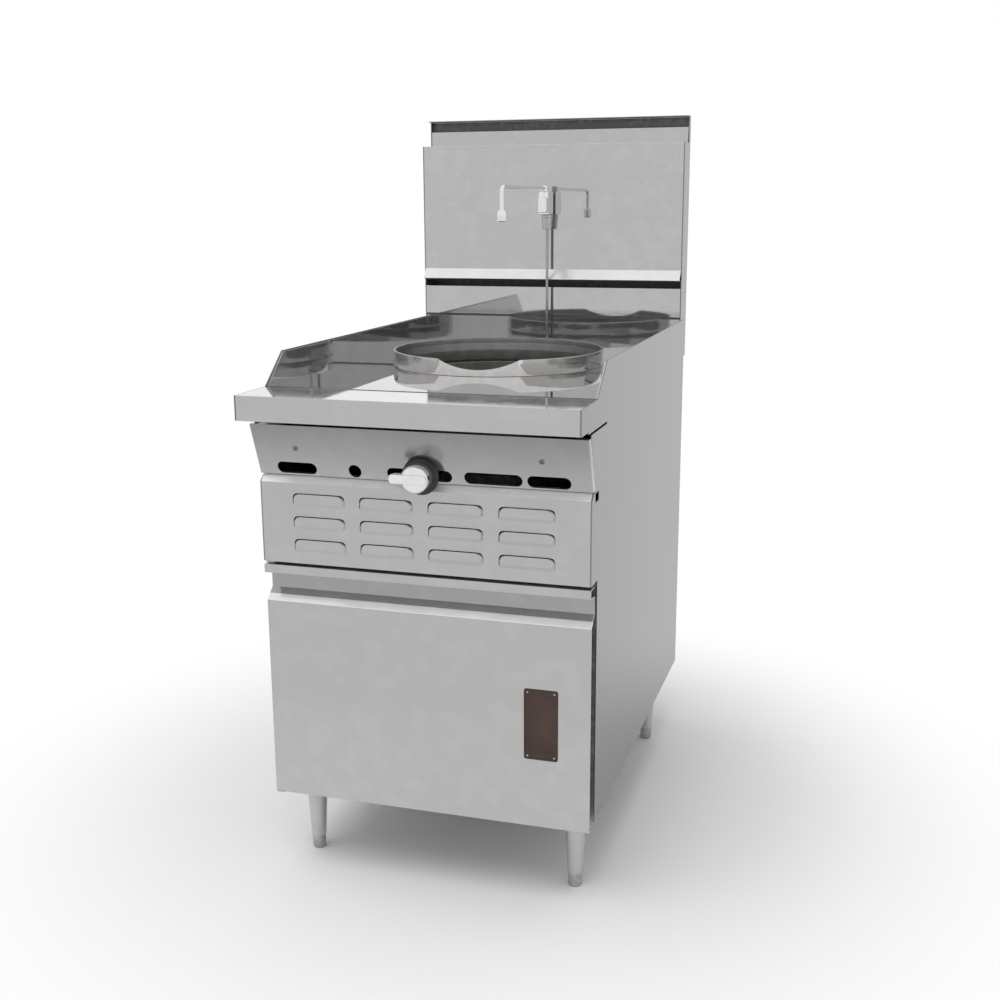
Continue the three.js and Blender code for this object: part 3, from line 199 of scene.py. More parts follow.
finish = {
    # painted light: darker from 0.16 m up to 0.36 m, so that the door's foot is lighter against the floor's
    # shade
    "front": shadedAbove(sheetFinish("frontSteelPaintedLight", 0.535, 0.024, (0.20, 0.26), 0.68, grainDepth=0.02),
                         0.16, 0.36, 0.88),
    # painted shade: a darker copy of the satin steel for the sides, back and riser casing
    "side": sheetFinish("sideSteelPaintedShade", 0.240, 0.014, (0.26, 0.275), 0.68, grain=(500.0, 6.0, 900.0),
                        grainDepth=0.003, blotches=2.2, patches=0.0),
    "rail": sheetFinish("railPolishedSteel", 0.465, 0.020, (0.06, 0.09), 0.70, grainDepth=0.006),
    # painted highlight: a lighter copy of the rail's steel for its top faces
    "railTop": sheetFinish("railTopPaintedHighlight", 0.71, 0.020, (0.04, 0.06), 0.65, grainDepth=0.003),
    # painted shade: the control panel leans towards the floor and is darker than the front, and darker still
    # towards the top, under the rail
    "control": shadedAbove(sheetFinish("controlSteelPaintedShade", 0.42, 0.030, (0.16, 0.22), 0.70, grainDepth=0.012),
                           0.775, 0.868, 0.64),
    # painted shade: a darker copy for the door's groove under its lip
    "groove": sheetFinish("grooveSteelPaintedShade", 0.36, 0.030, (0.14, 0.20), 0.74, grainDepth=0.012),
    # painted highlight: a near-white copy for folds that face upwards
    "fold": sheetFinish("foldPaintedHighlight", 0.82, 0.015, (0.14, 0.20), 0.40, grainDepth=0.006),
    # painted highlight: a near-white copy for the louver panel's up-facing bevel
    "bevel": sheetFinish("bevelPaintedHighlight", 0.97, 0.010, (0.20, 0.26), 0.25, grainDepth=0.006),
    "leg": sheetFinish("legSatinSteel", 0.58, 0.020, (0.20, 0.26), 0.68, grainDepth=0.01),
    "guard": sheetFinish("guardPolishedSteel", 0.52, 0.025, (0.025, 0.04), 0.93, grainDepth=0.003),
    # a dark strip along the deck's joints
    "seam": sheetFinish("darkJointStrip", 0.09, 0.20, (0.35, 0.50), 0.60),
    "mirror": sheetFinish("mirrorSteel", 0.56, 0.014, (0.020, 0.030), 0.91, grainDepth=0.002),
    "riser": sheetFinish("riserPolishedSteel", 0.475, 0.024, (0.025, 0.04), 0.90, grainDepth=0.003),
    "ring": sheetFinish("turnedRingSteel", 0.70, 0.04, (0.05, 0.09), 0.80, warm=0.015,
                        grain=(3.0, 3.0, 1400.0), grainDepth=0.010, blotches=14.0),
    # heat tint inside the ring, and painted shade on its up-facing rim
    "heatTintAndShade": sheetFinish("heatTintAndShadeRingSteel", 0.27, 0.06, (0.34, 0.38), 0.80, warm=0.02,
                          grain=(3.0, 3.0, 1400.0), grainDepth=0.02, blotches=14.0, contrast=0.8),
    # painted shade: a dark copy for the riser's inside
    "paintedShadeInside": sheetFinish("paintedShadeInsideFlueSteel", 0.16, 0.25, (0.50, 0.65), 0.45, warm=0.02, blotches=18.0),
    "inner": sheetFinish("innerSteel", 0.32, 0.12, (0.38, 0.5), 0.85, warm=0.015, blotches=30.0),
    "chrome": sheetFinish("chromePlate", 0.76, 0.02, (0.05, 0.08), 0.85, warm=-0.01, grainDepth=0.003,
                          blotches=20.0),
    "pipe": sheetFinish("pipeSatinSteel", 0.34, 0.06, (0.20, 0.28), 0.88, grain=(900.0, 900.0, 20.0),
                        grainDepth=0.03, blotches=24.0),
    # painted shade: the screw heads are dark, standing in for the shade of their recesses
    "screw": sheetFinish("screwSteelPaintedShade", 0.20, 0.10, (0.30, 0.42), 0.90, blotches=60.0),
    "zinc": sheetFinish("zincPlate", 0.47, 0.10, (0.3, 0.42), 0.9, blotches=60.0),
    "brass": sheetFinish("machinedBrass", (0.49, 0.34, 0.14), 0.10, (0.25, 0.38), 0.95, blotches=60.0),
    "iron": roughFinish("castIron", (0.030, 0.028, 0.026), (0.075, 0.068, 0.060), (0.55, 0.75), metallic=0.4),
    "blackPipe": roughFinish("blackIronPipe", (0.02, 0.02, 0.02), (0.05, 0.047, 0.044), (0.4, 0.55),
                             metallic=0.4),
    "refractory": roughFinish("refractoryLining", (0.115, 0.110, 0.104), (0.165, 0.158, 0.148), (0.85, 0.95),
                              pitDepth=0.6),
    # painted shade: the door's inner pan is black, so that the gap round the door reads as shade
    "shadeBlack": roughFinish("paintedShadeBlack", (0.012, 0.012, 0.012), (0.022, 0.021, 0.02), (0.22, 0.34),
                          pitDepth=0.04),
    "plastic": roughFinish("blackPhenolic", (0.008, 0.008, 0.008), (0.016, 0.016, 0.016), (0.26, 0.36),
                           pitDepth=0.03),
    "badge": roughFinish("badgeEnamel", (0.030, 0.012, 0.006), (0.060, 0.024, 0.012), (0.2, 0.3),
                         pitDepth=0.05),
}
print("finishes made:", len(finish))


def placeObject(name, mesh):
    thing = bpy.data.objects.new(name, mesh)
    bpy.context.scene.collection.objects.link(thing)
    return thing


def addPiece(name, mesh, look, body, replaced=(), smoothAngle=35.0):   # no angle: shading is set already
    piece = placeObject(name, mesh)
    mesh.materials.clear()
    mesh.materials.append(finish[look])
    if smoothAngle is not None:
        mesh.shade_smooth()
        mesh.set_sharp_from_angle(angle=math.radians(smoothAngle))
    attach(piece, body)
    if replaced:
        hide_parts(*replaced)
    return piece


def meshFrom(bm, name):
    bmesh.ops.remove_doubles(bm, verts=bm.verts, dist=1e-6)
    bmesh.ops.recalc_face_normals(bm, faces=bm.faces)
    mesh = bpy.data.meshes.new(name)
    bm.to_mesh(mesh)
    bm.free()
    return mesh


def joined(name, meshes):
    bm = bmesh.new()
    for mesh in meshes:
        bm.from_mesh(mesh)
    whole = bpy.data.meshes.new(name)
    bm.to_mesh(whole)
    bm.free()
    return whole


# the plain mesh that an object's modifiers make; the object goes
def baked(thing):
    depsgraph = bpy.context.evaluated_depsgraph_get()
    mesh = bpy.data.meshes.new_from_object(thing.evaluated_get(depsgraph), depsgraph=depsgraph)
    old = thing.data
    bpy.data.objects.remove(thing)
    bpy.data.meshes.remove(old)
    return mesh


# a blank with the cutter's shape taken out of it
def carved(blank, cutter, crossing=False):
    piece, tool = placeObject("blank", blank), placeObject("cutter", cutter)
    cut = piece.modifiers.new("cut", "BOOLEAN")
    cut.operation = "DIFFERENCE"
    cut.solver = "EXACT"
    cut.use_self = crossing
    cut.object = tool
    mesh = baked(piece)
    bpy.data.objects.remove(tool)
    return mesh


# rounds the folds and sheet edges of a mesh, and keeps its wide faces flat
def softMesh(source, name, fold=0.0012, rim=0.0003):
    wideFold, flatWidth = 0.006, 0.0009
    bm = bmesh.new()
    bm.from_mesh(source)
    bmesh.ops.remove_doubles(bm, verts=bm.verts, dist=1e-5)
    bmesh.ops.dissolve_limit(bm, angle_limit=math.radians(1.0), verts=bm.verts, edges=bm.edges)
    weight = bm.edges.layers.float.new("bevel_weight_edge")
    for edge in bm.edges:
        if len(edge.link_faces) != 2 or edge.calc_face_angle(0.0) < math.radians(12):
            continue
        reach = min(face.calc_area() / max(edge.calc_length(), 1e-6) for face in edge.link_faces)
        edge[weight] = 1.0 if reach > wideFold and edge.is_convex else rim / fold
    mesh = bpy.data.meshes.new(name)
    bm.to_mesh(mesh)
    bm.free()
    piece = placeObject(name, mesh)
    bevel = piece.modifiers.new("foldRadius", "BEVEL")
    bevel.limit_method = "WEIGHT"
    bevel.width = fold
    bevel.segments = 3
    mesh = baked(piece)
    mesh.shade_smooth()
    mesh.set_sharp_from_angle(angle=math.radians(35))
    for polygon in mesh.polygons:
        longest = max((mesh.vertices[a].co - mesh.vertices[b].co).length for a, b in polygon.edge_keys)
        if polygon.area / max(longest, 1e-6) > flatWidth:
            polygon.use_smooth = False
    return mesh


def softened(node, look, body, name=None, **edges):
    pieceName = name or node.replace("_", "") + "Sheet"
    return addPiece(pieceName, softMesh(nodes[node].data, pieceName, **edges), look, body, [node], None)


# Geometry Nodes: one item repeated in straight rows on a plane, or round a circle
def newRepeat(name, extra):
    inputs = [("Geometry", "Geometry"), ("Item", "Object"), ("Centre", "Vector"), ("Turn", "Vector"),
              ("Finish", "Material")] + extra
    return newGroup(name, [(label, kind, None) for label, kind in inputs], [("Geometry", "Geometry")],
                    "GeometryNodeTree")


def placeItems(group, start, end, count, **offsets):
    offset = placeNode(group, "ShaderNodeCombineXYZ", offsets)
    place = placeNode(group, "ShaderNodeVectorMath", {0: start.outputs["Centre"], 1: offset.outputs[0]})
    points = placeNode(group, "GeometryNodePoints", {"Count": count, "Position": place.outputs[0]})
    item = placeNode(group, "GeometryNodeObjectInfo", {"Object": start.outputs["Item"]})
    turn = placeNode(group, "FunctionNodeEulerToRotation", {0: start.outputs["Turn"]})
    scatter = placeNode(group, "GeometryNodeInstanceOnPoints", {
        "Points": points.outputs[0], "Instance": item.outputs["Geometry"], "Rotation": turn.outputs[0]})
    real = placeNode(group, "GeometryNodeRealizeInstances", {0: scatter.outputs[0]})
    paint = placeNode(group, "GeometryNodeSetMaterial", {
        "Geometry": real.outputs[0], "Material": start.outputs["Finish"]})
    group.links.new(paint.outputs[0], end.inputs[0])
    return group


def makeRowsGroup():
    group, start, end = newRepeat("itemsInRows", [
        ("Columns", "Int"), ("Rows", "Int"), ("Across", "Float"), ("Up", "Float")])
    index = group.nodes.new("GeometryNodeInputIndex").outputs[0]
    columns, rows = start.outputs["Columns"], start.outputs["Rows"]

    def fromMiddle(step, count, pitch):
        middle = mathNode(group, "MULTIPLY", mathNode(group, "SUBTRACT", count, 1.0), 0.5)
        return mathNode(group, "MULTIPLY", mathNode(group, "SUBTRACT", step, middle), pitch)

    column = mathNode(group, "FLOORED_MODULO", index, columns)
    row = mathNode(group, "FLOOR", mathNode(group, "DIVIDE", index, columns))
    return placeItems(group, start, end, mathNode(group, "MULTIPLY", columns, rows),
                      X=fromMiddle(column, columns, start.outputs["Across"]),
                      Z=fromMiddle(row, rows, start.outputs["Up"]))


def makeCircleGroup():
    group, start, end = newRepeat("itemsInCircle", [("Count", "Int"), ("Radius", "Float")])
    count, radius = start.outputs["Count"], start.outputs["Radius"]
    index = group.nodes.new("GeometryNodeInputIndex").outputs[0]
    angle = mathNode(group, "MULTIPLY", mathNode(group, "DIVIDE", index, count), math.tau)
    return placeItems(group, start, end, count,
                      X=mathNode(group, "MULTIPLY", mathNode(group, "COSINE", angle), radius),
                      Y=mathNode(group, "MULTIPLY", mathNode(group, "SINE", angle), radius))


itemsInRows = makeRowsGroup()
itemsInCircle = makeCircleGroup()


# the plain mesh that a tree makes from the given values
def grown(name, group, values):
    carrier = placeObject(name, bpy.data.meshes.new(name))
    modifier = carrier.modifiers.new("grow", "NODES")
    modifier.node_group = group
    for socket in group.interface.items_tree:
        if socket.item_type == "SOCKET" and socket.in_out == "INPUT" and socket.name in values:
            modifier[socket.identifier] = values[socket.name]
    carrier.update_tag()
    return baked(carrier)


def repeated(name, group, item, look, **values):
    model = placeObject(name + "Item", item)
    mesh = grown(name, group, {"Item": model, "Finish": finish[look], "Turn": (0.0, 0.0, 0.0), **values})
    bpy.data.objects.remove(model)
    return mesh


# gives the faces that the test picks a second finish
def refinish(piece, look, test):
    mesh = piece.data
    mesh.materials.append(finish[look])
    for polygon in mesh.polygons:
        if test(polygon.center, polygon.normal):
            polygon.material_index = len(mesh.materials) - 1


# cuts chosen faces at a plane, so that the finish can change there
def scored(piece, place, normal, test):
    bm = bmesh.new()
    bm.from_mesh(piece.data)
    chosen = [face for face in bm.faces if test(face.calc_center_median(), face.normal)]
    parts = {*chosen, *(e for face in chosen for e in face.edges), *(v for face in chosen for v in face.verts)}
    bmesh.ops.bisect_plane(bm, geom=list(parts), dist=1e-6, plane_co=place, plane_no=normal)
    bm.to_mesh(piece.data)
    bm.free()


# the points of a bend at a corner, from one side of it to the other
def bendPoints(start, corner, end, steps):
    for k in range(steps + 1):
        t = k / steps
        yield (1 - t) ** 2 * start + 2 * t * (1 - t) * corner + t * t * end


# each point is (a, b, radius), and its corner becomes an arc of that radius
def roundedLine(points, steps=5):
    out = []
    for i, (a, b, radius) in enumerate(points):
        here = Vector((a, b))
        if radius <= 0:
            out.append(here)
            continue
        before = Vector(points[i - 1][:2]) - here
        after = Vector(points[(i + 1) % len(points)][:2]) - here
        cutBack = min(radius / math.tan(before.angle(after) / 2), before.length * 0.49, after.length * 0.49)
        start, end = here + before.normalized() * cutBack, here + after.normalized() * cutBack
        out += bendPoints(start, here, end, steps)
    return out


def roundedBox(centreX, centreZ, halfX, halfZ, radius):
    return roundedLine([
        (centreX - halfX, centreZ - halfZ, radius), (centreX + halfX, centreZ - halfZ, radius),
        (centreX + halfX, centreZ + halfZ, radius), (centreX - halfX, centreZ + halfZ, radius)], steps=6)


# a body of revolution from a closed outline of (radius, height, corner radius)
def turnedMesh(name, outline, centre, axis="Z", segments=64, steps=5):
    bm = bmesh.new()
    rings = []
    for r, h in roundedLine(outline, steps):
        turns = [k / segments * math.tau for k in range(1 if r < 1e-7 else segments)]
        rings.append([bm.verts.new((r * math.cos(turn), r * math.sin(turn), h)) for turn in turns])
    for i, ring in enumerate(rings):
        following = rings[(i + 1) % len(rings)]
        for k in range(segments):
            corners = [ring[k % len(ring)], ring[(k + 1) % len(ring)],
                       following[(k + 1) % len(following)], following[k % len(following)]]
            unique = list(dict.fromkeys(corners))
            if len(unique) > 2:
                bm.faces.new(unique)
    turn = {"Z": 0.0, "-Y": math.pi / 2, "Y": -math.pi / 2}[axis]
    bm.transform(Matrix.Translation(centre) @ Matrix.Rotation(turn, 4, "X"))
    return meshFrom(bm, name)


# a round bar along straight runs with round bends
def rodMesh(name, points, bend, radius, sides=32):
    corners = [Vector(p) for p in points]
    path = corners[:1]
    for before, corner, after in zip(corners, corners[1:], corners[2:]):
        into, out = (before - corner).normalized(), (after - corner).normalized()
        path += bendPoints(corner + into * bend, corner, corner + out * bend, 12)
    path.append(corners[-1])
    bm = bmesh.new()
    rings = []
    side = None
    for i, place in enumerate(path):
        tangent = (path[min(i + 1, len(path) - 1)] - path[max(i - 1, 0)]).normalized()
        side = tangent.orthogonal().normalized() if side is None else side
        side = (side - side.dot(tangent) * tangent).normalized()
        other = tangent.cross(side)
        turns = [k / sides * math.tau for k in range(sides)]
        rings.append([bm.verts.new(place + radius * (math.cos(turn) * side + math.sin(turn) * other))
                      for turn in turns])
    for first, second in zip(rings, rings[1:]):
        for k in range(sides):
            bm.faces.new((first[k], first[(k + 1) % sides], second[(k + 1) % sides], second[k]))
    bm.faces.new(rings[0])
    bm.faces.new(rings[-1])
    return meshFrom(bm, name)


# a plate from an outline in X and Z, between two Y, with soft edges
def plateMesh(name, outline, front, rear, edge):
    bm = bmesh.new()
    face = bm.faces.new([bm.verts.new((x, front, z)) for x, z in outline])
    bmesh.ops.recalc_face_normals(bm, faces=[face])
    swept = bmesh.ops.extrude_face_region(bm, geom=[face])
    moved = [v for v in swept["geom"] if isinstance(v, bmesh.types.BMVert)]
    bmesh.ops.translate(bm, verts=moved, vec=(0, rear - front, 0))
    bmesh.ops.recalc_face_normals(bm, faces=bm.faces)
    rims = [e for e in bm.edges if abs(e.verts[0].co.y - e.verts[1].co.y) < 1e-9]
    bmesh.ops.bevel(bm, geom=rims, offset=edge, segments=3, profile=0.5, affect="EDGES", clamp_overlap=True)
    return meshFrom(bm, name)


# the CAD nodes that stay, each with its finish
kept = {
    "cabinet_floor": "inner", "front_frame": "inner", "cabinet_baffle": "inner",
    "chamber_shell": "inner", "flue_duct": "inner", "chamber_liner": "refractory",
    "burner_strap": "zinc", "venturi_tube": "iron", "air_shutter": "zinc", "gas_orifice": "brass",
    "pilot_burner": "brass", "gas_manifold": "blackPipe", "gas_elbow": "blackPipe", "gas_valve": "brass",
    "valve_stem": "brass", "supply_tube": "zinc", "pilot_valve": "brass", "pilot_tube": "zinc",
    # the door's inner pan is painted shade black
    "pipe_nut": "brass", "door_inner": "shadeBlack", "strike_plate": "zinc", "hinge_top": "zinc",
    "hinge_bottom": "zinc", "magnet_catch": "plastic",
}
for nodeName, look in kept.items():
    nodes[nodeName].data.materials.clear()
    nodes[nodeName].data.materials.append(finish[look])
print("CAD nodes kept:", len(kept))

sheetLooks = {
    "side_panel_left": "side", "side_panel_right": "side", "back_panel": "side", "control_panel": "control",
    "front_rail": "rail", "deck_pan": "mirror", "riser_side_left": "side", "riser_side_right": "side",
    "riser_back": "side", "riser_front_upper": "riser", "riser_front_lower": "riser", "riser_cap": "side",
    "door_skin": "front",
}
sheets = {nodeName: softened(nodeName, look, doorBody if nodeName == "door_skin" else rangeBody)
          for nodeName, look in sheetLooks.items()}

# painted shade: the riser's inside faces are painted dark, so that its flue slots read dark
paintedShadeInsideFaces = {
    "riser_back": lambda c, n: n.y < -0.5 or n.z > 0.5, "riser_side_left": lambda c, n: n.x > 0.5,
    "riser_side_right": lambda c, n: n.x < -0.5, "riser_cap": lambda c, n: n.z < -0.5,
    "riser_front_upper": lambda c, n: n.y > 0.5 or n.z < -0.7, "riser_front_lower": lambda c, n: n.y > 0.5,
}
for nodeName, test in paintedShadeInsideFaces.items():
    refinish(sheets[nodeName], "paintedShadeInside", test)

# painted highlights on the folds that face upwards, painted shade in the door's groove, and a dark strip along
# the deck's two joints
folds = {"seamWidth": 0.005, "grooveFoot": 0.060, "grooveHead": 0.016, "grooveSetback": 0.010,
         "highlightBand": 0.012, "jointRise": 0.005, "jointHeight": 0.005}


def facesSky(c, n):
    return n.z > 0.9


def facesUpFront(c, n):
    return n.y < -0.4 and 0.35 < n.z < 0.95


def facesFront(c, n):
    return n.y < -0.9


def finishFolds():
    s = folds
    deck, rail, door = sheets["deck_pan"], sheets["front_rail"], sheets["door_skin"]
    deckLow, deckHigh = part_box("deck_pan")
    doorLow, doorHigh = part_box("door_skin")
    deckSeam, railSeam = deckLow.y + s["seamWidth"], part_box("front_rail")[1].y - s["seamWidth"]
    # painted highlight on the riser's up-facing lip
    refinish(sheets["riser_front_upper"], "fold", facesUpFront)
    refinish(deck, "guard", lambda c, n: abs(n.x) > 0.9)
    scored(deck, (0, deckSeam, 0), (0, 1, 0), facesSky)
    refinish(deck, "seam", lambda c, n: n.z > 0.3 and c.y < deckSeam)
    # painted highlight on the rail's top faces
    refinish(rail, "railTop", facesSky)
    scored(rail, (0, railSeam, 0), (0, 1, 0), facesSky)
    refinish(rail, "seam", lambda c, n: n.z > 0.3 and railSeam < c.y)
    slopeMiddle, grooveTop = doorHigh.z - s["grooveFoot"], doorHigh.z - s["grooveHead"]
    grooveFront, highlightFoot = doorLow.y + s["grooveSetback"], slopeMiddle - s["highlightBand"]
    # painted shade on the groove's upper slope, and a painted highlight on the band below it
    scored(door, (0, 0, slopeMiddle), (0, 0, 1), facesUpFront)
    refinish(door, "groove", lambda c, n: c.y > grooveFront and n.y < -0.3 and slopeMiddle < c.z < grooveTop)
    refinish(door, "fold", lambda c, n: facesUpFront(c, n) and highlightFoot < c.z < slopeMiddle)
    jointLow = deckHigh.z + s["jointRise"]
    jointHigh = jointLow + s["jointHeight"]
    for height in (jointLow, jointHigh):
        scored(sheets["riser_front_lower"], (0, 0, height), (0, 0, 1), facesFront)
    refinish(sheets["riser_front_lower"], "seam", lambda c, n: facesFront(c, n) and jointLow < c.z < jointHigh)


finishFolds()
print("sheet pieces:", len(sheetLooks))

# the louver panel: a folded sheet, and the pressed louvers in front of its openings
louver = {"columns": 4, "rows": 3, "pitchAcross": 0.128, "pitchUp": 0.042, "width": 0.099, "height": 0.026,
          "corner": 0.0115, "stand": 0.0042, "bend": 0.013, "wall": 0.0014, "slit": 0.0008,
          "endSlope": 0.0032, "setback": 0.0004, "gridAcross": 81, "gridUp": 19, "faceBehindBox": 0.008,
          "sheet": 0.002, "bevel": 0.012, "topReturn": 0.021, "footReturn": 0.018, "openingFoot": 0.45,
          "cutAhead": 0.010, "cutBehind": 0.006, "cutEdge": 0.00005}


def makeLouverHood():
    s = louver
    sizes = {"Width": s["width"], "Height": s["height"], "Corner": s["corner"], "Stand": s["stand"],
             "Bend": s["bend"], "End Slope": s["endSlope"]}
    group, start, end = newGroup(
        "pressedLouver", [("Geometry", "Geometry", None)] + [(label, "Float", None) for label in sizes],
        [("Geometry", "Geometry")], "GeometryNodeTree")
    width, height, corner, stand, bend, endSlope = (start.outputs[label] for label in sizes)

    def calc(operation, *values):
        return mathNode(group, operation, *values)

    grid = placeNode(group, "GeometryNodeMeshGrid", {
        "Size X": width, "Size Y": height, "Vertices X": s["gridAcross"], "Vertices Y": s["gridUp"]})
    position = group.nodes.new("GeometryNodeInputPosition").outputs[0]
    place = placeNode(group, "ShaderNodeSeparateXYZ", {0: position}).outputs
    top, half = calc("MULTIPLY", height, 0.5), calc("MULTIPLY", width, 0.5)
    past = calc("SUBTRACT", place["Y"], calc("SUBTRACT", top, corner))
    turn = calc("MAXIMUM", calc("MINIMUM", calc("DIVIDE", past, corner), 1.0), 0.0)
    arc = calc("SQRT", calc("SUBTRACT", 1.0, calc("MULTIPLY", turn, turn)))
    reach = calc("ADD", calc("SUBTRACT", half, corner), calc("MULTIPLY", arc, corner))
    across = calc("MULTIPLY", place["X"], calc("DIVIDE", reach, half))
    inward = calc("SUBTRACT", half, calc("ABSOLUTE", place["X"]))
    fromEnd = calc("MULTIPLY", inward, calc("DIVIDE", bend, endSlope))
    fromFoot = calc("ADD", place["Y"], top)
    rise = placeNode(group, "ShaderNodeMapRange", {
        "Value": calc("MINIMUM", fromFoot, fromEnd), "From Max": bend, "To Max": stand},
        interpolation_type="SMOOTHSTEP")
    shape = placeNode(group, "ShaderNodeCombineXYZ", {
        "X": across, "Y": calc("MULTIPLY", rise.outputs["Result"], -1.0), "Z": place["Y"]})
    move = placeNode(group, "GeometryNodeSetPosition", {
        "Geometry": grid.outputs["Mesh"], "Position": shape.outputs[0]})
    group.links.new(move.outputs[0], end.inputs[0])
    bm = bmesh.new()
    bm.from_mesh(grown("louverHood", group, sizes))
    if sum(face.normal.y for face in bm.faces) > 0:
        bmesh.ops.reverse_faces(bm, faces=bm.faces)
    bmesh.ops.solidify(bm, geom=bm.faces, thickness=s["wall"])
    bmesh.ops.recalc_face_normals(bm, faces=bm.faces)
    return meshFrom(bm, "louverHood")


def sheetInside(line, thickness):      # the sheet's other face, on the left of a bent line, in reverse order
    normals = []
    for (a, b), (c, d) in zip(line, line[1:]):
        length = math.hypot(c - a, d - b)
        normals.append((-(d - b) / length, (c - a) / length))
    inner = []
    for i, (y, z) in enumerate(line):
        before, after = normals[max(i - 1, 0)], normals[min(i, len(normals) - 1)]
        wide = 1 + before[0] * after[0] + before[1] * after[1]
        inner.append((y + thickness * (before[0] + after[0]) / wide,
                      z + thickness * (before[1] + after[1]) / wide))
    return inner[::-1]


def makeLouverPanel():
    s = louver
    low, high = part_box("louver_panel")
    face = low.y + s["faceBehindBox"]
    line = [(face + s["topReturn"], high.z), (face + s["bevel"], high.z), (face, high.z - s["bevel"]),
            (face, low.z), (face + s["footReturn"], low.z)]
    outline = line + sheetInside(line, s["sheet"])
    bm = bmesh.new()
    left, right = ([bm.verts.new((x, y, z)) for y, z in outline] for x in (low.x, high.x))
    for first in range(len(outline)):
        second = (first + 1) % len(outline)
        bm.faces.new((left[first], left[second], right[second], right[first]))
    bm.faces.new(left)
    bm.faces.new(right)
    blank = meshFrom(bm, "louverBlank")
    middle = (low.z + high.z - s["bevel"]) / 2
    halfX, halfZ, corner = s["width"] / 2 + s["slit"] / 2, s["height"] / 2, s["corner"] + s["slit"]
    openings = []
    for row in range(s["rows"]):
        for column in range(s["columns"]):
            x = (column - (s["columns"] - 1) / 2) * s["pitchAcross"]
            z = middle + (row - (s["rows"] - 1) / 2) * s["pitchUp"]
            foot, top = z - halfZ * s["openingFoot"], z + halfZ + s["slit"]
            opening = roundedLine([(x - halfX, foot, 0), (x + halfX, foot, 0), (x + halfX, top, corner),
                                   (x - halfX, top, corner)], steps=6)
            openings.append(plateMesh("opening", opening, face - s["cutAhead"], face + s["cutBehind"],
                                      s["cutEdge"]))
    sheet = softMesh(carved(blank, joined("openings", openings)), "louverSheet")
    # painted highlight on the panel's up-facing top bevel
    refinish(addPiece("louverSheet", sheet, "front", rangeBody, ["louver_panel"], None), "bevel", facesUpFront)
    hoods = repeated("louverHoods", itemsInRows, makeLouverHood(), "front",
                     Centre=(0.0, face + s["setback"], middle), Columns=s["columns"], Rows=s["rows"],
                     Across=s["pitchAcross"], Up=s["pitchUp"])
    addPiece("louverHoods", hoods, "front", rangeBody, (), 40.0)


makeLouverPanel()
print("louver panel made")

# screws with a cross recess, on the control panel and round the back panel
screw = {"radius": 0.0048, "height": 0.0021, "foot": -0.0008, "recess": 0.0012, "slotLength": 0.0052,
         "slotWidth": 0.0009, "frontMiddle": -0.002, "frontAcross": 0.448, "frontDown": 0.453,
         "panelLean": 0.036, "backAcross": 0.584, "backUp": 0.172, "backRows": 5}


def makeScrewHead():
    s = screw
    head = turnedMesh("screwHead", [
        (0, s["foot"], 0), (s["radius"], s["foot"], 0), (s["radius"], s["height"] * 0.35, s["radius"] * 0.12),
        (s["radius"] * 0.62, s["height"], s["radius"] * 0.5), (0, s["height"], 0)],
        (0, 0, 0), segments=28, steps=4)
    bm = bmesh.new()
    for turn in (0.0, math.pi / 2):
        box = bmesh.ops.create_cube(bm, size=1.0)["verts"]
        bmesh.ops.scale(bm, verts=box, vec=(s["slotLength"], s["slotWidth"], s["recess"] * 2))
        bmesh.ops.rotate(bm, verts=box, matrix=Matrix.Rotation(turn, 3, "Z"))
        bmesh.ops.translate(bm, verts=box, vec=(0, 0, s["height"]))
    return carved(head, meshFrom(bm, "screwSlots"), crossing=True)


def makeScrews():
    s = screw
    low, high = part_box("control_panel")
    place = (s["frontMiddle"], low.y + s["frontDown"] * s["panelLean"],
             high.z - s["frontDown"] * (high.z - low.z))
    lean = math.atan2(s["panelLean"], high.z - low.z)
    front = repeated("controlScrews", itemsInRows, makeScrewHead(), "screw", Centre=place,
                     Turn=(math.pi / 2 + lean, 0.0, 0.0), Columns=2, Rows=1, Across=s["frontAcross"], Up=0.0)
    addPiece("controlScrews", front, "screw", rangeBody, (), 40.0)
    low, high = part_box("back_panel")
    rows = repeated("backScrews", itemsInRows, makeScrewHead(), "screw",
                    Centre=(0.0, high.y, (low.z + high.z) / 2), Turn=(-math.pi / 2, 0.0, 0.0), Columns=2,
                    Rows=s["backRows"], Across=s["backAcross"], Up=s["backUp"])
    addPiece("rearScrews", rows, "screw", rangeBody, (), 40.0)


makeScrews()
print("screws made")

legShape = {"hole": 0.0063, "holeDepth": 0.030, "foot": 0.014, "top": 0.021, "flange": 0.036,
            "flangeHeight": 0.004, "edge": 0.0008, "segments": 48}
footShape = {"radius": 0.013, "height": 0.026, "stem": 0.006, "stemInLeg": 0.029}


def makeLeg(end, side):
    s, f = legShape, footShape
    low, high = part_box(f"leg_{end}_{side}")
    centre = ((low.x + high.x) / 2, (low.y + high.y) / 2, 0)
    flangeFoot, holeTop, stemTop = high.z - s["flangeHeight"], low.z + s["holeDepth"], low.z + f["stemInLeg"]
    leg = turnedMesh("leg", [
        (s["hole"], low.z, 0), (s["foot"], low.z, s["edge"]), (s["top"], flangeFoot, 0.002),
        (s["flange"], flangeFoot, s["edge"]), (s["flange"], high.z, 0), (0, high.z, 0), (0, holeTop, 0),
        (s["hole"], holeTop, 0)], centre, segments=s["segments"])
    addPiece(f"leg.{end}.{side}", leg, "leg", rangeBody, [f"leg_{end}_{side}"])
    foot = turnedMesh("foot", [
        (0, 0, 0), (f["radius"], 0, 0.004), (f["radius"], f["height"], 0.001), (f["stem"], f["height"], 0),
        (f["stem"], stemTop, 0.001), (0, stemTop, 0)], centre, segments=s["segments"])
    addPiece(f"foot.{end}.{side}", foot, "zinc", f"foot_{end}_{side}", [f"foot_{end}_{side}"])


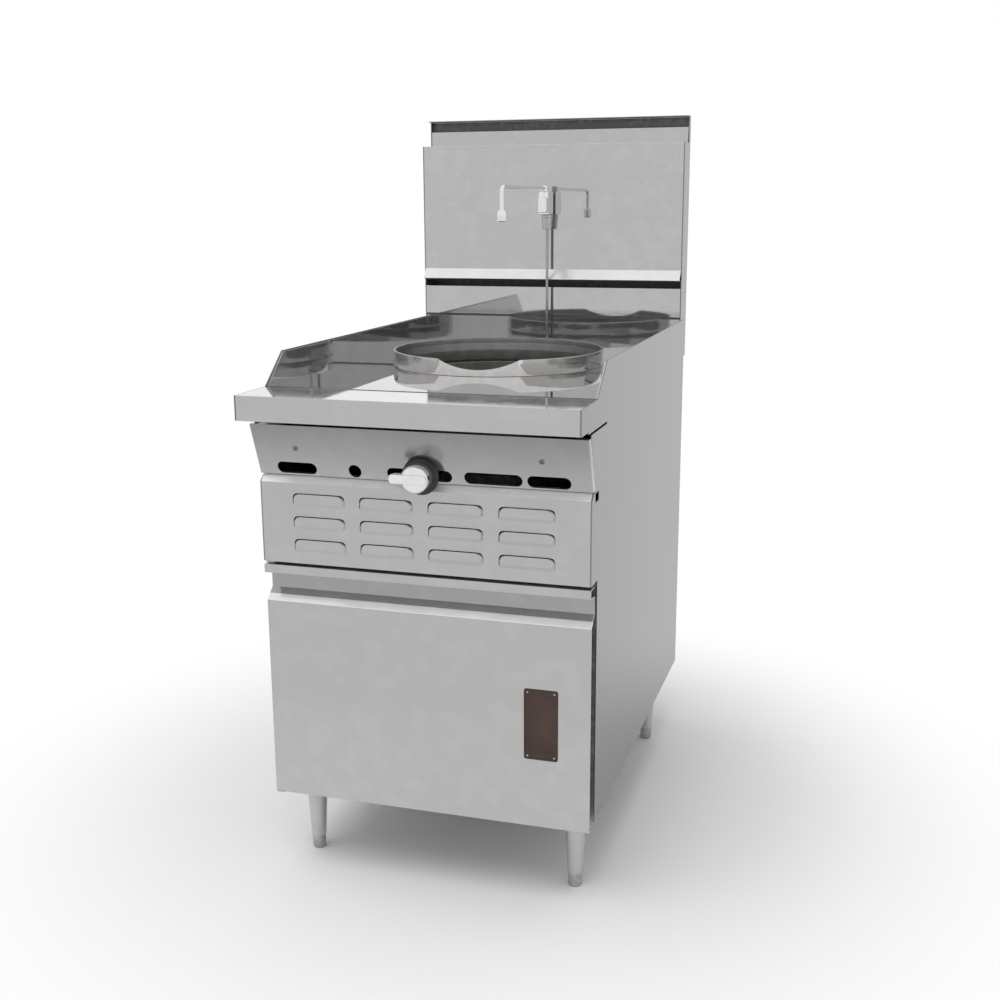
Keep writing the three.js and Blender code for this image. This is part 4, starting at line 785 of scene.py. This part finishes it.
for end in ("front", "rear"):
    for side in ("left", "right"):
        makeLeg(end, side)
print("legs and feet made")

ringShape = {"outside": 0.213, "wall": 0.005, "collarOutside": 0.2095, "collarInside": 0.2065,
             "foot": 0.9203, "innerTaper": 0.020, "edge": 0.0012, "dip": 0.019, "dipHalf": 0.080,
             "dipTurn": 6.0, "dipReach": 0.205, "dipDepth": 0.12, "segments": 180, "dipSegments": 360}


def makeRing():
    s = ringShape
    low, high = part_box("wok_ring")
    centre = Vector(((low.x + high.x) / 2, (low.y + high.y) / 2, 0))
    foot, rim, edge, wallInside = s["foot"], high.z, s["edge"], s["outside"] - s["wall"]
    ring = turnedMesh("ring", [
        (s["collarInside"], low.z, 0.0003), (s["collarOutside"], low.z, 0.0003), (s["collarOutside"], foot, 0),
        (s["outside"], foot, 0.0008), (s["outside"], rim, edge), (wallInside, rim, edge),
        (wallInside, foot + s["innerTaper"], 0.008), (s["collarInside"], foot + s["wall"], 0.008)],
        centre, segments=s["segments"], steps=4)
    radius = (s["dipHalf"] ** 2 + s["dip"] ** 2) / (2 * s["dip"])
    bm = bmesh.new()
    bmesh.ops.create_cone(bm, cap_ends=True, segments=s["dipSegments"], radius1=radius, radius2=radius,
                          depth=s["dipDepth"])
    bm.transform(Matrix.Translation(centre) @ Matrix.Rotation(math.radians(s["dipTurn"]), 4, "Z")
                 @ Matrix.Translation((0, -s["dipReach"], rim - s["dip"] + radius))
                 @ Matrix.Rotation(math.pi / 2, 4, "X"))
    piece = addPiece("wokRing", carved(ring, meshFrom(bm, "dip")), "ring", rangeBody, ["wok_ring"], 30.0)
    wallMiddle = s["outside"] - s["wall"] / 2

    def facesHeatTintAndShade(c, n):      # the heat-tinted inside, and the rim, where the wok rests, painted darker: painted shade over its edge highlight
        return math.hypot(c.x - centre.x, c.y - centre.y) < wallMiddle or n.z > 0.2 and c.z > foot + 0.01
    refinish(piece, "heatTintAndShade", facesHeatTintAndShade)


makeRing()
print("wok ring made")

faucet = {"pipeRadius": 0.0032, "bend": 0.022, "socketFoot": 0.0105, "socketTop": 0.013, "socketDepth": 0.0117,
          "spoutRadius": 0.0042, "spoutBend": 0.014, "collar": 0.008, "collarHeight": 0.013, "nozzle": 0.0095,
          "nozzleDepth": 0.0137, "play": 0.0003, "lever": 0.006, "leverCorner": 0.006,
          "leverEdge": 0.0013, "leverStem": 0.004}


def makePipe():
    s = faucet
    low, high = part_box("water_pipe")
    socketLow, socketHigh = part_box("pipe_socket")
    y = (socketLow.y + socketHigh.y) / 2
    runZ, inletX = low.z + s["pipeRadius"], low.x + s["pipeRadius"]
    pipe = rodMesh("waterPipe", [(0, y, high.z), (0, y, runZ), (inletX, y, runZ), (inletX, high.y, runZ)],
                   s["bend"], s["pipeRadius"])
    addPiece("waterPipe", pipe, "pipe", rangeBody, ["water_pipe"])
    foot, top = socketLow.z, socketHigh.z
    bore, holeTop = s["pipeRadius"] + s["play"], top - s["socketDepth"]
    socket = turnedMesh("pipeSocket", [
        (bore, foot, 0.0005), (s["socketFoot"], foot, 0.0012), (s["socketTop"] - 0.0005, top - 0.006, 0.001),
        (s["socketTop"], top - 0.005, 0.0008), (s["socketTop"], top, 0.0008), (0, top, 0), (0, holeTop, 0),
        (bore, holeTop, 0)], (0, y, 0), segments=48)
    addPiece("pipeSocket", socket, "zinc", rangeBody, ["pipe_socket"])
    softened("faucet_body", "chrome", rangeBody, "faucetValve", fold=0.0016, rim=0.0004)


def makeLever():
    s = faucet
    low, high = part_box("faucet_handle")
    z, back = (low.z + high.z) / 2, low.y + s["lever"]
    outline = roundedBox(0, z, (high.x - low.x) / 2, (high.z - low.z) / 2, s["leverCorner"])
    blade = plateMesh("blade", outline, low.y, back, s["leverEdge"])
    stem = turnedMesh("stem", [
        (0, -0.001, 0), (0.006, -0.001, 0.0004), (0.0052, 0.0015, 0.001), (s["leverStem"], 0.0028, 0.0004),
        (s["leverStem"], high.y - back, 0.0003), (0, high.y - back, 0)], (0, back, z), "Y", 40)
    addPiece("faucetLever", joined("faucetLever", [blade, stem]), "chrome", tapBody, ["faucet_handle"], 50.0)


def makeSpout():
    s = faucet
    low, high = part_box("faucet_spout")
    top, foot = high.z, high.z - s["collarHeight"]
    armZ, pivotY, armEnd = (top + foot) / 2, high.y - s["collar"], low.y + s["spoutRadius"]
    arm = rodMesh("arm", [(0, pivotY, armZ), (0, armEnd, armZ), (0, armEnd, low.z)], s["spoutBend"],
                  s["spoutRadius"])
    collar = turnedMesh("collar", [
        (0, foot, 0), (s["collar"], foot, 0.0006), (s["collar"], top - 0.004, 0.0006),
        (0.007, top - 0.0015, 0.001), (0.005, top, 0.001), (0, top, 0)], (0, pivotY, 0), segments=48)
    addPiece("faucetSpout", joined("spout", [arm, collar]), "chrome", spoutBody, ["faucet_spout"])
    low, high = (corner.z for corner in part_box("spout_nozzle"))
    bore, wide, ledge = s["spoutRadius"] + s["play"], s["nozzle"], low + s["nozzleDepth"]
    nozzle = turnedMesh("nozzle", [
        (bore - 0.002, low, 0.0003), (wide - 0.001, low, 0.0006), (wide, low + 0.0015, 0.0006),
        (wide, low + 0.005, 0), (wide - 0.0006, low + 0.0055, 0), (wide - 0.0006, low + 0.0075, 0),
        (wide, low + 0.008, 0), (wide, high - 0.004, 0.002), (bore + 0.002, high, 0.0006), (bore, high, 0),
        (bore, ledge, 0), (bore - 0.002, ledge, 0)], (0, armEnd, 0), segments=48)
    addPiece("spoutNozzle", nozzle, "chrome", spoutBody, ["spout_nozzle"])


makePipe()
makeLever()
makeSpout()
print("faucet made")

knob = {"hole": 0.0048, "radius": 0.0245, "chamfer": 0.003, "skirtRadius": 0.033, "skirtWidth": 0.006,
        "barLeft": 0.045, "barRight": 0.0225, "barHalf": 0.0084, "barProud": 0.0016, "barDepth": 0.012}


def makeKnob():
    s = knob
    skirtLow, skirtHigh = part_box("knob_skirt")
    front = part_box("control_knob")[0].y
    x, z = (skirtLow.x + skirtHigh.x) / 2, (skirtLow.z + skirtHigh.z) / 2
    wide, width = s["skirtRadius"], s["skirtWidth"]
    skirt = turnedMesh("skirt", [
        (s["hole"], 0, 0), (wide, 0, 0.0006), (wide, width - 0.003, 0.0015), (wide - 0.003, width, 0.001),
        (s["hole"], width, 0)], (x, skirtHigh.y, z), "-Y", 72)
    addPiece("knobSkirt", skirt, "plastic", knobBody, ["knob_skirt"])
    length, radius = skirtLow.y - front, s["radius"]
    disc = turnedMesh("disc", [
        (0, 0, 0), (radius - 0.0015, 0, 0.001), (radius, 0.002, 0.001), (radius, length - s["chamfer"], 0.002),
        (radius - s["chamfer"], length, 0.0012), (0, length, 0)], (x, skirtLow.y, z), "-Y", 96)
    barMiddle, barReach = x + (s["barRight"] - s["barLeft"]) / 2, (s["barRight"] + s["barLeft"]) / 2
    bar = plateMesh("bar", roundedBox(barMiddle, z, barReach, s["barHalf"], s["barHalf"] * 0.9),
                    front - s["barProud"], front + s["barDepth"], 0.0016)
    addPiece("controlKnob", joined("controlKnob", [disc, bar]), "chrome", knobBody, ["control_knob"], 50.0)


makeKnob()
print("knob made")

burner = {"radius": 0.072, "rim": 0.018, "taper": 0.006, "shoulder": 0.062, "neck": 0.020, "flange": 0.028,
          "flangeHeight": 0.008, "strapGap": 0.0004, "inlet": 0.022, "inletBore": 0.015, "inletReach": 0.055,
          "jets": 12, "jetCircle": 0.052, "jetRadius": 0.006, "jetHeight": 0.012, "jetRoot": -0.002,
          "crown": 0.001}
gasPipe = {"radius": 0.0135, "bore": 0.0105}


def makeBurner():
    s = burner
    low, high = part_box("burner_head")
    y, top = high.y - s["radius"], high.z - s["jetHeight"]
    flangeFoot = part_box("burner_strap")[1].z + s["strapGap"]
    casting = turnedMesh("casting", [
        (0, low.z, 0), (s["neck"], low.z, 0.002), (s["neck"], flangeFoot, 0), (s["flange"], flangeFoot, 0.001),
        (s["flange"], flangeFoot + s["flangeHeight"], 0.002),
        (s["shoulder"], top - s["rim"] - s["taper"], 0.004), (s["radius"], top - s["rim"], 0.003),
        (s["radius"], top - s["crown"], 0.0015), (s["jetCircle"], top, 0.004), (0, top, 0)],
        (0, y, 0), segments=96)
    inlet = turnedMesh("inlet", [
        (s["inletBore"], 0, 0.001), (s["inlet"], 0, 0.001), (s["inlet"], s["inletReach"], 0),
        (s["inletBore"], s["inletReach"], 0)], (0, y - s["inletReach"], low.z + s["inlet"]), "Y", 48)
    wide, tall = s["jetRadius"], s["jetHeight"]
    jet = turnedMesh("jet", [
        (0, s["jetRoot"], 0), (wide, s["jetRoot"], 0), (wide, tall * 0.7, 0.001), (wide * 0.7, tall, 0.0008),
        (0.0016, tall, 0.0003), (0.0014, tall * 0.4, 0.0003), (0, tall * 0.4, 0)],
        (0, 0, 0), segments=24, steps=3)
    jets = repeated("burnerJets", itemsInCircle, jet, "iron", Centre=(0.0, y, top), Count=s["jets"],
                    Radius=s["jetCircle"])
    head = joined("burnerHead", [casting, inlet, jets])
    addPiece("burnerHead", head, "iron", rangeBody, ["burner_head"], 40.0)


def makeGasPipe():
    s = gasPipe
    low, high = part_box("gas_pipe")
    length = high.y - low.y
    pipe = turnedMesh("gasPipe", [
        (s["bore"], 0, 0.0005), (s["radius"], 0, 0.0005), (s["radius"], length, 0.001),
        (s["bore"], length, 0.0005)], ((low.x + high.x) / 2, low.y, (low.z + high.z) / 2), "Y", 48)
    addPiece("gasPipe", pipe, "blackPipe", rangeBody, ["gas_pipe"])


makeBurner()
makeGasPipe()

badge = {"corner": 0.005, "raise": 0.0005, "borderInset": 0.0012, "borderWidth": 0.00175,
         "rivetRadius": 0.0019, "rivetRise": 0.0011, "rivetInset": 0.0065}


def makeBadge():
    s = badge
    low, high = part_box("badge_plate")
    x, z = (low.x + high.x) / 2, (low.z + high.z) / 2
    halfX, halfZ = (high.x - low.x) / 2, (high.z - low.z) / 2
    face = low.y + s["raise"]
    plate = plateMesh("plate", roundedBox(x, z, halfX, halfZ, s["corner"]), face, high.y, 0.0003)
    bm = bmesh.new()
    loops = []
    for inset in (s["borderInset"], s["borderInset"] + s["borderWidth"]):
        outline = roundedBox(x, z, halfX - inset, halfZ - inset, s["corner"] - inset * 0.6)
        for y in (low.y, face + 0.0001):
            loops.append([bm.verts.new((px, y, pz)) for px, pz in outline])
    outerFront, outerRear, innerFront, innerRear = loops
    for one, two in ((outerRear, outerFront), (outerFront, innerFront), (innerFront, innerRear),
                     (innerRear, outerRear)):
        for k in range(len(one)):
            bm.faces.new((one[k], one[(k + 1) % len(one)], two[(k + 1) % len(two)], two[k]))
    border = meshFrom(bm, "border")
    wide, tall = s["rivetRadius"], s["rivetRise"]
    rivet = turnedMesh("rivet", [
        (0, -0.0004, 0), (wide, -0.0004, 0), (wide, 0.0002, 0.0001), (wide * 0.7, tall * 0.8, 0.0005),
        (0, tall, 0)], (0, 0, 0), segments=20, steps=4)
    rivets = repeated("badgeRivets", itemsInRows, rivet, "zinc", Centre=(x, face, z),
                      Turn=(math.pi / 2, 0.0, 0.0), Columns=2, Rows=2, Across=2 * (halfX - s["rivetInset"]),
                      Up=2 * (halfZ - s["rivetInset"]))
    addPiece("doorBadge", joined("doorBadge", [plate, border]), "badge", doorBody, ["badge_plate"], 40.0)
    addPiece("badgeRivets", rivets, "zinc", doorBody, (), 40.0)


makeBadge()
print("burner, gas pipe and badge made")

light = {"worldDiffuse": 0.66, "sun": 1.05, "sunAngle": 50.0, "sunTowards": (0.20, 0.32, -1.0), "floor": 0.93,
         "floorSize": 16.0, "floorDrop": 0.0004, "shadowEdge": 0.55, "whiteFrom": 1.25}


# 1 for what is seen, straight, in polished metal or through glass, and 0 for what only lights the range
def seenRays(tree):
    rays = placeNode(tree, "ShaderNodeLightPath").outputs
    seen = mathNode(tree, "MAXIMUM", rays["Is Camera Ray"], rays["Is Glossy Ray"])
    return mathNode(tree, "MAXIMUM", seen, rays["Is Transmission Ray"])


# pale near the range, where its shadow falls, and plain white further out
def makeFloor():
    half, z = light["floorSize"] / 2, -light["floorDrop"]
    bm = bmesh.new()
    bm.faces.new([bm.verts.new((x * half, y * half, z)) for x, y in ((-1, -1), (1, -1), (1, 1), (-1, 1))])
    mesh = bpy.data.meshes.new("floor")
    bm.to_mesh(mesh)
    bm.free()
    floor = placeObject("studioFloor", mesh)
    material, tree, place = newMaterial("paleFloor", 0.0)
    shader = tree.nodes["Principled BSDF"]
    shader.inputs["Base Color"].default_value = (*grey(light["floor"]), 1.0)
    shader.inputs["Roughness"].default_value = 0.9
    shader.inputs["Specular IOR Level"].default_value = 0.0
    away = placeNode(tree, "ShaderNodeVectorMath", {0: place}, operation="LENGTH")
    fade = placeNode(tree, "ShaderNodeMapRange", {
        "Value": away.outputs["Value"], "From Min": light["shadowEdge"], "From Max": light["whiteFrom"]},
        interpolation_type="SMOOTHSTEP")
    mix = placeNode(tree, "ShaderNodeMixShader", {
        "Fac": mathNode(tree, "MULTIPLY", seenRays(tree), fade.outputs["Result"]), 1: shader.outputs["BSDF"],
        2: placeNode(tree, "ShaderNodeEmission").outputs[0]})
    tree.links.new(mix.outputs[0], tree.nodes["Material Output"].inputs["Surface"])
    mesh.materials.append(material)


def makeWorld():
    world = bpy.data.worlds.new("studio")
    bpy.context.scene.world = world
    world.use_nodes = True
    tree = world.node_tree
    tree.nodes.clear()
    soft, white = (placeNode(tree, "ShaderNodeBackground", {
        "Color": (1.0, 1.0, 1.0, 1.0), "Strength": strength}) for strength in (light["worldDiffuse"], 1.0))
    mix = placeNode(tree, "ShaderNodeMixShader", {
        "Fac": seenRays(tree), 1: soft.outputs[0], 2: white.outputs[0]})
    placeNode(tree, "ShaderNodeOutputWorld", {"Surface": mix.outputs[0]})


def makeSun():
    lamp = bpy.data.lights.new("softSun", "SUN")
    lamp.energy = light["sun"]
    lamp.angle = math.radians(light["sunAngle"])
    sun = placeObject("softSun", lamp)
    sun.visible_glossy = False
    sun.rotation_euler = Vector(light["sunTowards"]).to_track_quat("-Z", "Y").to_euler()


camera = {"place": (0.7649, -2.4362, 1.2354), "yaw": 17.161, "pitch": 13.078, "roll": -0.309, "lens": 45.85}


def makeCamera():
    yaw, pitch, roll = (math.radians(camera[k]) for k in ("yaw", "pitch", "roll"))
    ahead = Vector((-math.sin(yaw) * math.cos(pitch), math.cos(yaw) * math.cos(pitch), -math.sin(pitch)))
    level = Vector((math.cos(yaw), math.sin(yaw), 0))
    upright = level.cross(ahead)
    right = math.cos(roll) * level + math.sin(roll) * upright
    up = -math.sin(roll) * level + math.cos(roll) * upright
    data = bpy.data.cameras.new("photoCamera")
    data.lens = camera["lens"]
    data.sensor_width = 36.0
    eye = placeObject("photoCamera", data)
    turn = Matrix((right, up, -ahead)).transposed().to_4x4()
    eye.matrix_world = Matrix.Translation(camera["place"]) @ turn
    bpy.context.scene.camera = eye


makeFloor()
makeWorld()
makeSun()
makeCamera()
bpy.context.scene.view_settings.view_transform = "Standard"
print("studio made")
